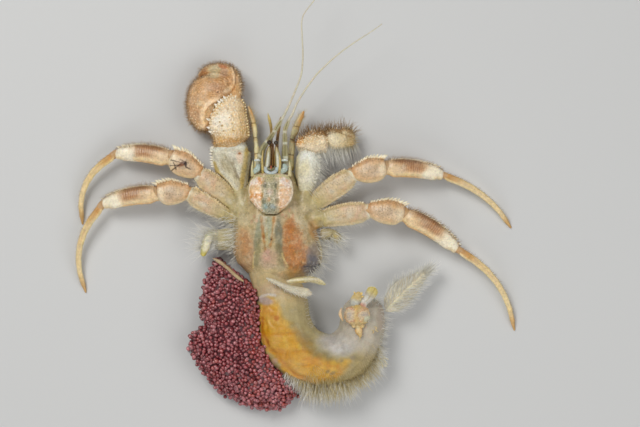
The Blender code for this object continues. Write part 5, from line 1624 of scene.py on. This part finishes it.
def make_eggs(look, rng):
    """The cluster of eggs, ball by ball, with painted highlight and shade on each, over a core painted dark
    as the shade between them.
    """
    width = look.egg_width / MM
    points, _, normals = fine_skin(["egg_mass"], 0.14, 6)
    outer = scatter(points, np.ones(len(points), bool), width * 0.78, rng)
    centres = [points[outer] - normals[outer] * rng.uniform(0.05, 0.55, (len(outer), 1)) * width]
    inner_from = points - normals * width * 0.75
    inner = scatter(inner_from, normals[:, 2] > -0.3, width * 1.03, rng)
    centres.append(inner_from[inner])
    proud = scatter(points, normals[:, 2] > -0.2, width * 2.0, rng)
    centres.append(points[proud] + normals[proud] * width * rng.uniform(0.0, 0.45, (len(proud), 1)))
    rim = scatter(points, (np.abs(normals[:, 2]) < 0.6) & (points[:, 0] < 1.5), width * 1.5, rng)
    centres.append(points[rim] + normals[rim] * width * rng.uniform(0.3, 0.8, (len(rim), 1)))
    centres = np.vstack(centres + [STRAY_EGGS])
    centres = dented(centres[(centres[:, :2] - EGGS_END) @ EGGS_WAY < 0.1])
    centres += rng.normal(0, 0.05, centres.shape)
    radii = width * 0.53 * rng.normal(1.0, 0.06, len(centres))
    centres[:, 2] = np.maximum(centres[:, 2], radii * 1.05)
    shape = balls(centres, radii, rng.normal(1.0, 0.05, (len(centres), 3)))
    chance = rng.random(len(centres))
    tints = tone(look.egg) + rng.normal(0, 1, (len(centres), 1)) * [17, 12, 12]
    near_belly = ramp(centres[:, 0], -4.4, -2)
    orange = chance < 0.08 + 0.45 * near_belly
    tints[orange] = tints[orange] * 0.6 + np.array([190, 100, 76]) * 0.4
    edge = ramp(np.hypot(centres[:, 0] + 5.3, (centres[:, 1] + 11.3) * 0.75), 4, 6)
    pale = chance > 0.86 - 0.42 * edge
    tints[pale] = tints[pale] * 0.4 + np.array([204, 160, 168]) * 0.6
    shape.tint = tints[shape.owner]
    up = shape.ball[:, 2]
    # painted highlights: each egg paler on top, with a pale glint on the side toward the key light, more on
    # some eggs than on others
    highlight_share = rng.uniform(0.2, 0.7, len(centres))[shape.owner]
    shape.lay((200, 122, 132), highlight_share, (up, 0.3, 0.95))
    shape.lay((244, 206, 210), highlight_share, ((shape.ball * unit(np.array([-0.4, 0.35, 1.0]))).sum(1), 0.84, 0.98))
    # painted shade: each egg darker underneath
    shape.lay((76, 24, 38), 0.5, (up, 0.15, -0.7))
    eye_way = unit(rng.normal(size=(len(centres), 3)) + [0, 0, 0.6])[shape.owner]
    shape.lay((66, 20, 32), 0.55, ((shape.ball * eye_way).sum(1), 0.82, 0.96))
    shape.deepen((0.97, 0.91, 0.91))
    piece("egg_cluster", shape, MATERIALS["egg"], ["egg_mass"])
    # painted shade: a dark wine core that shows as shade in the gaps between the eggs
    points, faces, _ = fine_skin(["egg_mass"], 0.25, 4, sink=0.22)
    piece("egg_core", Shape(dented(points), [faces], (92, 36, 48)), MATERIALS["egg"])


class CRAB_OT_eggs(bpy.types.Operator):
    """Makes the cluster of eggs"""

    bl_idname = "crab.eggs"
    bl_label = "Make the eggs"

    def execute(self, context):
        make_eggs(looks()[1], np.random.default_rng(31))
        return {"FINISHED"}


# ---- hairs

STRAW = ((128, 94, 56), (180, 146, 98))  # root and tip colours
WHITE = ((226, 224, 212), (255, 255, 255))
FLAX = ((186, 168, 124), (236, 226, 190))


def hair_legs(look):
    """Hairs on the walking legs."""
    length = look.hair / MM
    for n, name in enumerate(LEGS):
        coat = Coat(100 + n)
        for article, gap, size in (("merus", 0.2, 0.7), ("carpus", 0.2, 0.75), ("propodus", 0.14, 1.0),
                                   ("dactyl", 0.2, 0.55)):
            k = SKINS[f"{name}_{article}"]
            coat.add(k, (k.t > 0.7) & (k.s > 0.04), gap, length * size * (1 - 0.3 * k.s), 0.026, *STRAW,
                     aim=0.5)
            if article != "merus":
                coat.add(k, (k.t < -0.8) & (k.s > 0.1), 0.26, 0.42, 0.015, *FLAX, aim=0.8)
        k = SKINS[f"{name}_merus"]
        coat.add(k, (k.t < -0.75) & (k.s > 0.1) & (k.s < 0.9), 0.24, 0.9, 0.028, *WHITE, aim=0.5)
        coat.finish(f"{name}_hairs")


def hair_claws():
    """Hairs on the claws and mouth legs."""
    coat = Coat(201)
    for node, gap, size in (("claw_left_palm", 0.15, 0.6), ("claw_left_carpus", 0.2, 0.5),
                            ("claw_left_merus", 0.3, 0.45)):
        k = SKINS[node]
        rim = np.abs(k.tilt) < 0.45
        if node.endswith("carpus"):
            rim &= (k.x < -6.4) | (k.x > -3.6)
        coat.add(k, rim, gap, size, 0.024, *STRAW)
    coat.finish("claw_left_hairs")
    coat = Coat(202)
    for node in ("claw_right_carpus", "claw_right_palm"):
        k = SKINS[node]
        coat.add(k, (k.t > 0.5) & (k.tilt > -0.5), 0.17, 1.3, 0.03, *STRAW, lean=(0.15, 0.4, 0))
    k = SKINS["claw_right_palm"]
    coat.add(k, (k.s > 0.7) & (k.normals[:, 0] > 0.1), 0.2, 0.8, 0.024, *FLAX, lean=(0.4, 0, 0))
    coat.add(k, (k.t < -0.35) & (k.tilt < 0.6), 0.22, 2.9, 0.036, *WHITE, lean=(0.28, -1, -0.02),
             own=0.15, bend=0.06, spread=0.09)
    k = SKINS["claw_right_merus"]
    coat.add(k, (k.x > 4.2) & (k.normals[:, 0] > 0.3) & (k.y < 9.2), 0.24, 2.1, 0.034,
             *WHITE, lean=(0.7, -0.75, -0.02), own=0.15, bend=0.08, spread=0.11)
    k = SKINS["claw_right_carpus"]
    coat.add(k, (k.t < -0.3) & (k.tilt < 0.5), 0.26, 1.8, 0.034, *WHITE, lean=(0.5, -0.9, -0.02),
             own=0.15, bend=0.08, spread=0.12)
    coat.finish("claw_right_hairs")
    coat = Coat(203)
    for side in ("left", "right"):
        k = SKINS[f"maxilliped_{side}_lower"]
        coat.add(k, k.s > 0.7, 0.14, 0.8, 0.016, *FLAX, aim=0.9)
        coat.add(k, (np.abs(k.t) > 0.6) & (k.s > 0.1), 0.2, 0.5, 0.014, *FLAX, aim=0.7)
        for node in ("antenna_base", "antennule"):
            k = SKINS[f"{node}_{side}"]
            coat.add(k, k.s > 0.4, 0.2, 0.45, 0.012, *FLAX, aim=0.8)
        k = SKINS[f"eyestalk_{side}"]
        coat.add(k, (k.s > 0.5) & (np.abs(k.t) > 0.5), 0.3, 0.3, 0.01, *FLAX, aim=0.5)
    coat.finish("mouth_hairs")


def hair_body():
    """Hairs on the carapace edge, the hind legs, the abdomen and the swimming legs."""
    coat = Coat(301)
    k = SKINS["carapace"]
    x, y, rim = k.x, k.y, np.abs(k.tilt) < 0.6
    coat.add(k, rim & (x > 4.4) & (y < 0.4) & (y > -5), 0.27, 1.8, 0.034, *WHITE, lean=(0.3, -0.55, 0),
             bend=0.25, droop=0.1)
    coat.add(k, rim & (x < -4.1) & (y < 2.5) & (y > -4.5), 0.28, 1.3, 0.032, *WHITE, lean=(-0.3, -0.4, 0),
             bend=0.2)
    coat.add(k, (x < -3.9) & (y < 2.2) & (y > -1.6), 0.32, 2.4, 0.034, *WHITE, lean=(-1, -0.1, 0.15), own=0.3,
             bend=0.15)
    coat.add(k, (k.tilt > 0.6) & (k.points[:, 2] > 4) & (np.abs(x) > 1.2), 0.6, 0.28, 0.012, *FLAX)
    coat.finish("carapace_hairs")
    coat = Coat(302)
    for node, way, size, gap in (("leg4_left", (-1.0, 0.2, 0.15), 2.3, 0.2),
                                 ("leg4_left", (-0.8, -0.7, 0), 1.5, 0.26),
                                 ("leg4_right", (0.8, -0.6, 0.0), 1.9, 0.2),
                                 ("leg5_right_lower", (0.7, -0.6, 0.0), 0.5, 0.22),
                                 ("leg5_right_upper", (0.9, 0.1, 0.0), 0.4, 0.25),
                                 ("leg5_left", (-0.5, -0.5, 0.0), 0.3, 0.4)):
        k = SKINS[node]
        outer = (k.x < -6.2) | (node != "leg4_left")
        coat.add(k, outer & (k.normals @ unit(np.array(way)) > 0.1), gap, size,
                 0.018 if node == "leg5_left" else 0.036, *WHITE, lean=way, own=0.5, bend=0.25,
                 spread=0.24)
    coat.finish("hind_leg_hairs")
    coat = Coat(303)
    k = SKINS[ABDOMEN[0]]
    x, y, level, tilt = *k.points.T, k.tilt
    tuft = 0.7 + 0.5 * noise(k.points, 0.6, 3)
    thick = ramp(np.abs(k.s - 0.65), 0.2, 0.1)  # the far bend, where the fringe is longest
    rim = (k.t < -1.0) & (k.s > 0.42) & (k.s < 0.86) & (tilt < 0.75) & (level > 0.3)
    coat.add(k, rim, 0.17, (1.9 + 1.3 * thick) * tuft, 0.042, *WHITE, lean=(0.1, -0.4, 0.1), bend=0.1,
             spread=0.2)
    coat.add(k, rim & (thick > 0), 0.12, (0.6 + 1.5 * thick) * (0.8 + 0.3 * tuft), 0.036, (206, 186, 128),
             (232, 222, 186), lean=(0.05, -0.4, 0.1), bend=0.15, spread=0.3)
    coat.add(k, (k.t < -0.7) & (thick > 0.3) & (tilt > 0.3) & (tilt < 0.95), 0.2, 1.5 * thick, 0.03,
             (196, 176, 120), (246, 240, 214), lean=(0.25, -1, 0), own=0.5, bend=0.15, spread=0.2)
    coat.add(k, (k.t < 0.2) & (k.s > 0.5) & (k.s < 0.86) & (tilt > 0.1), 0.22, 0.55, 0.024, *FLAX,
             lean=(0.4, -0.7, 0), own=0.7)
    coat.add(k, (k.t > 1.2) & (k.s > 0.1) & (k.s < 0.35) & (np.abs(tilt) < 0.6), 0.3, 0.6, 0.022, *WHITE)
    coat.add(k, (k.s > 0.7) & (x > 12) & (np.abs(tilt) < 0.6), 0.3, 1.2, 0.036, *WHITE, lean=(0.6, -0.2, 0),
             spread=0.3)
    coat.finish("abdomen_hairs")
    coat = Coat(304)
    k = SKINS["pleopod_plume"]
    size = 1.55 * ramp(k.s, -0.2, 0.25) * (0.85 + 0.3 * noise(k.points, 0.4, 5))
    for side in (-1, 1):
        coat.add(k, k.t * side > 0, 0.15, size * (1 - 0.2 * k.s), 0.04, *WHITE,
                 lean=side * 0.75 * k.course.side, own=0.3, aim=1, bend=0.1, spread=0.14)
    coat.add(k, k.s > 0.84, 0.13, 1.7, 0.04, *WHITE, own=0.5, aim=1.6, bend=0.08, spread=0.16)
    k = SKINS["pleopod_small"]
    coat.add(k, k.s > 0.3, 0.3, 0.6, 0.03, *WHITE, own=0.5, aim=1, bend=0.1, spread=0.3)
    for node in ("uropod_left", "uropod_right", "telson", "telson_point"):
        k = SKINS[node]
        coat.add(k, np.abs(k.tilt) < 0.3, 0.2, 0.4, 0.014, *WHITE)
    coat.finish("tail_hairs")


class CRAB_OT_hairs(bpy.types.Operator):
    """Makes the hairs of every part"""

    bl_idname = "crab.hairs"
    bl_label = "Make the hairs"

    def execute(self, context):
        hair_legs(looks()[0])
        hair_claws()
        hair_body()
        return {"FINISHED"}


# ---- stage

VIEW_MIDDLE = (5.65, 2.53)  # where the camera looks, mm
VIEW_WIDTH = 75.3  # mm across the view, at this level:
VIEW_LEVEL = 2.5
AIM_LEVEL = 2.0  # mm, where the lights are aimed
SENSOR = 36.0  # mm
FLOOR_REACH = 400  # mm, from the middle to each edge
LIGHTS = {  # place, size and share of the key light's strength
    "key_light": ((-90, 110, 190), 105, 1.0),
    "fill_light": ((150, -40, 170), 180, 0.55),
    "low_light": ((-40, -170, 110), 140, 0.3),
}
LIGHT_COLOUR = (1.0, 0.975, 0.915)
SKY_STRENGTH = 0.22


def area_light(name, place, size, power):
    """A soft square light aimed at the middle of the view."""
    data = bpy.data.lights.new(name, "AREA")
    data.shape, data.size, data.energy, data.color = "SQUARE", size * MM, power, LIGHT_COLOUR
    lamp = put(name, data)
    lamp.location = [v * MM for v in place]
    target = np.array([*VIEW_MIDDLE, AIM_LEVEL]) - place
    lamp.rotation_euler = Vector(target).to_track_quat("-Z", "Y").to_euler()


class CRAB_OT_stage(bpy.types.Operator):
    """Makes the floor, the lights and the camera"""

    bl_idname = "crab.stage"
    bl_label = "Make the stage"

    def execute(self, context):
        look = looks()[2]
        scene = context.scene
        mesh = bpy.data.meshes.new("floor")
        corners = ((-1, -1), (1, -1), (1, 1), (-1, 1))
        mesh.from_pydata([(x * FLOOR_REACH * MM, y * FLOOR_REACH * MM, 0) for x, y in corners],
                         [], [(0, 1, 2, 3)])
        floor = put("floor", mesh)
        material = bpy.data.materials.new("floor_paint")
        material.use_nodes = True
        shader = material.node_tree.nodes["Principled BSDF"]
        shader.inputs["Base Color"].default_value = (*linear(tone(look.floor)), 1)
        shader.inputs["Roughness"].default_value = 0.9
        mesh.materials.append(material)
        for name, (place, size, share) in LIGHTS.items():
            area_light(name, place, size, look.key * share)
        world = bpy.data.worlds.new("studio")
        world.use_nodes = True
        sky = world.node_tree.nodes["Background"].inputs
        sky["Color"].default_value = (1.0, 1.0, 1.0, 1)
        sky["Strength"].default_value = SKY_STRENGTH
        scene.world = world
        scene.view_settings.view_transform = "Standard"
        data = bpy.data.cameras.new("camera")
        data.lens, data.sensor_width = look.lens, SENSOR
        data.clip_start, data.clip_end = 0.01, 10.0
        camera = put("camera", data)
        height = VIEW_WIDTH * look.lens / SENSOR + VIEW_LEVEL
        camera.location = (VIEW_MIDDLE[0] * MM, VIEW_MIDDLE[1] * MM, height * MM)
        scene.camera = camera
        return {"FINISHED"}


# ---- add-on

OPERATORS = (CRAB_OT_stage, CRAB_OT_head, CRAB_OT_claws, CRAB_OT_legs, CRAB_OT_back, CRAB_OT_hind_legs,
             CRAB_OT_abdomen, CRAB_OT_eggs, CRAB_OT_hairs)


class CRAB_PT_panel(bpy.types.Panel):
    """Lists the steps that make the crab"""

    bl_label = "Hermit Crab"
    bl_idname = "CRAB_PT_panel"
    bl_space_type = "VIEW_3D"
    bl_region_type = "UI"
    bl_category = "Hermit Crab"

    def draw(self, context):
        scene = context.scene
        for group in (scene.crab_limbs, scene.crab_body, scene.crab_stage):
            box = self.layout.box()
            for key in group.__annotations__:
                box.prop(group, key)
        for operator in OPERATORS:
            self.layout.operator(operator.bl_idname)


GROUPS = {"crab_limbs": CRAB_PG_limbs, "crab_body": CRAB_PG_body, "crab_stage": CRAB_PG_stage}


def register():
    for cls in (*GROUPS.values(), *OPERATORS, CRAB_PT_panel):
        bpy.utils.register_class(cls)
    for key, group in GROUPS.items():
        setattr(bpy.types.Scene, key, PointerProperty(type=group))


def unregister():
    for key in GROUPS:
        delattr(bpy.types.Scene, key)
    for cls in (CRAB_PT_panel, *reversed(OPERATORS), *GROUPS.values()):
        bpy.utils.unregister_class(cls)


def main():
    register()
    make_finishes()
    bpy.ops.crab.stage()
    bpy.ops.crab.head()
    bpy.ops.crab.claws()
    bpy.ops.crab.legs()
    bpy.ops.crab.back()
    bpy.ops.crab.hind_legs()
    bpy.ops.crab.abdomen()
    bpy.ops.crab.eggs()
    bpy.ops.crab.hairs()


if __name__ == "__main__":
    main()
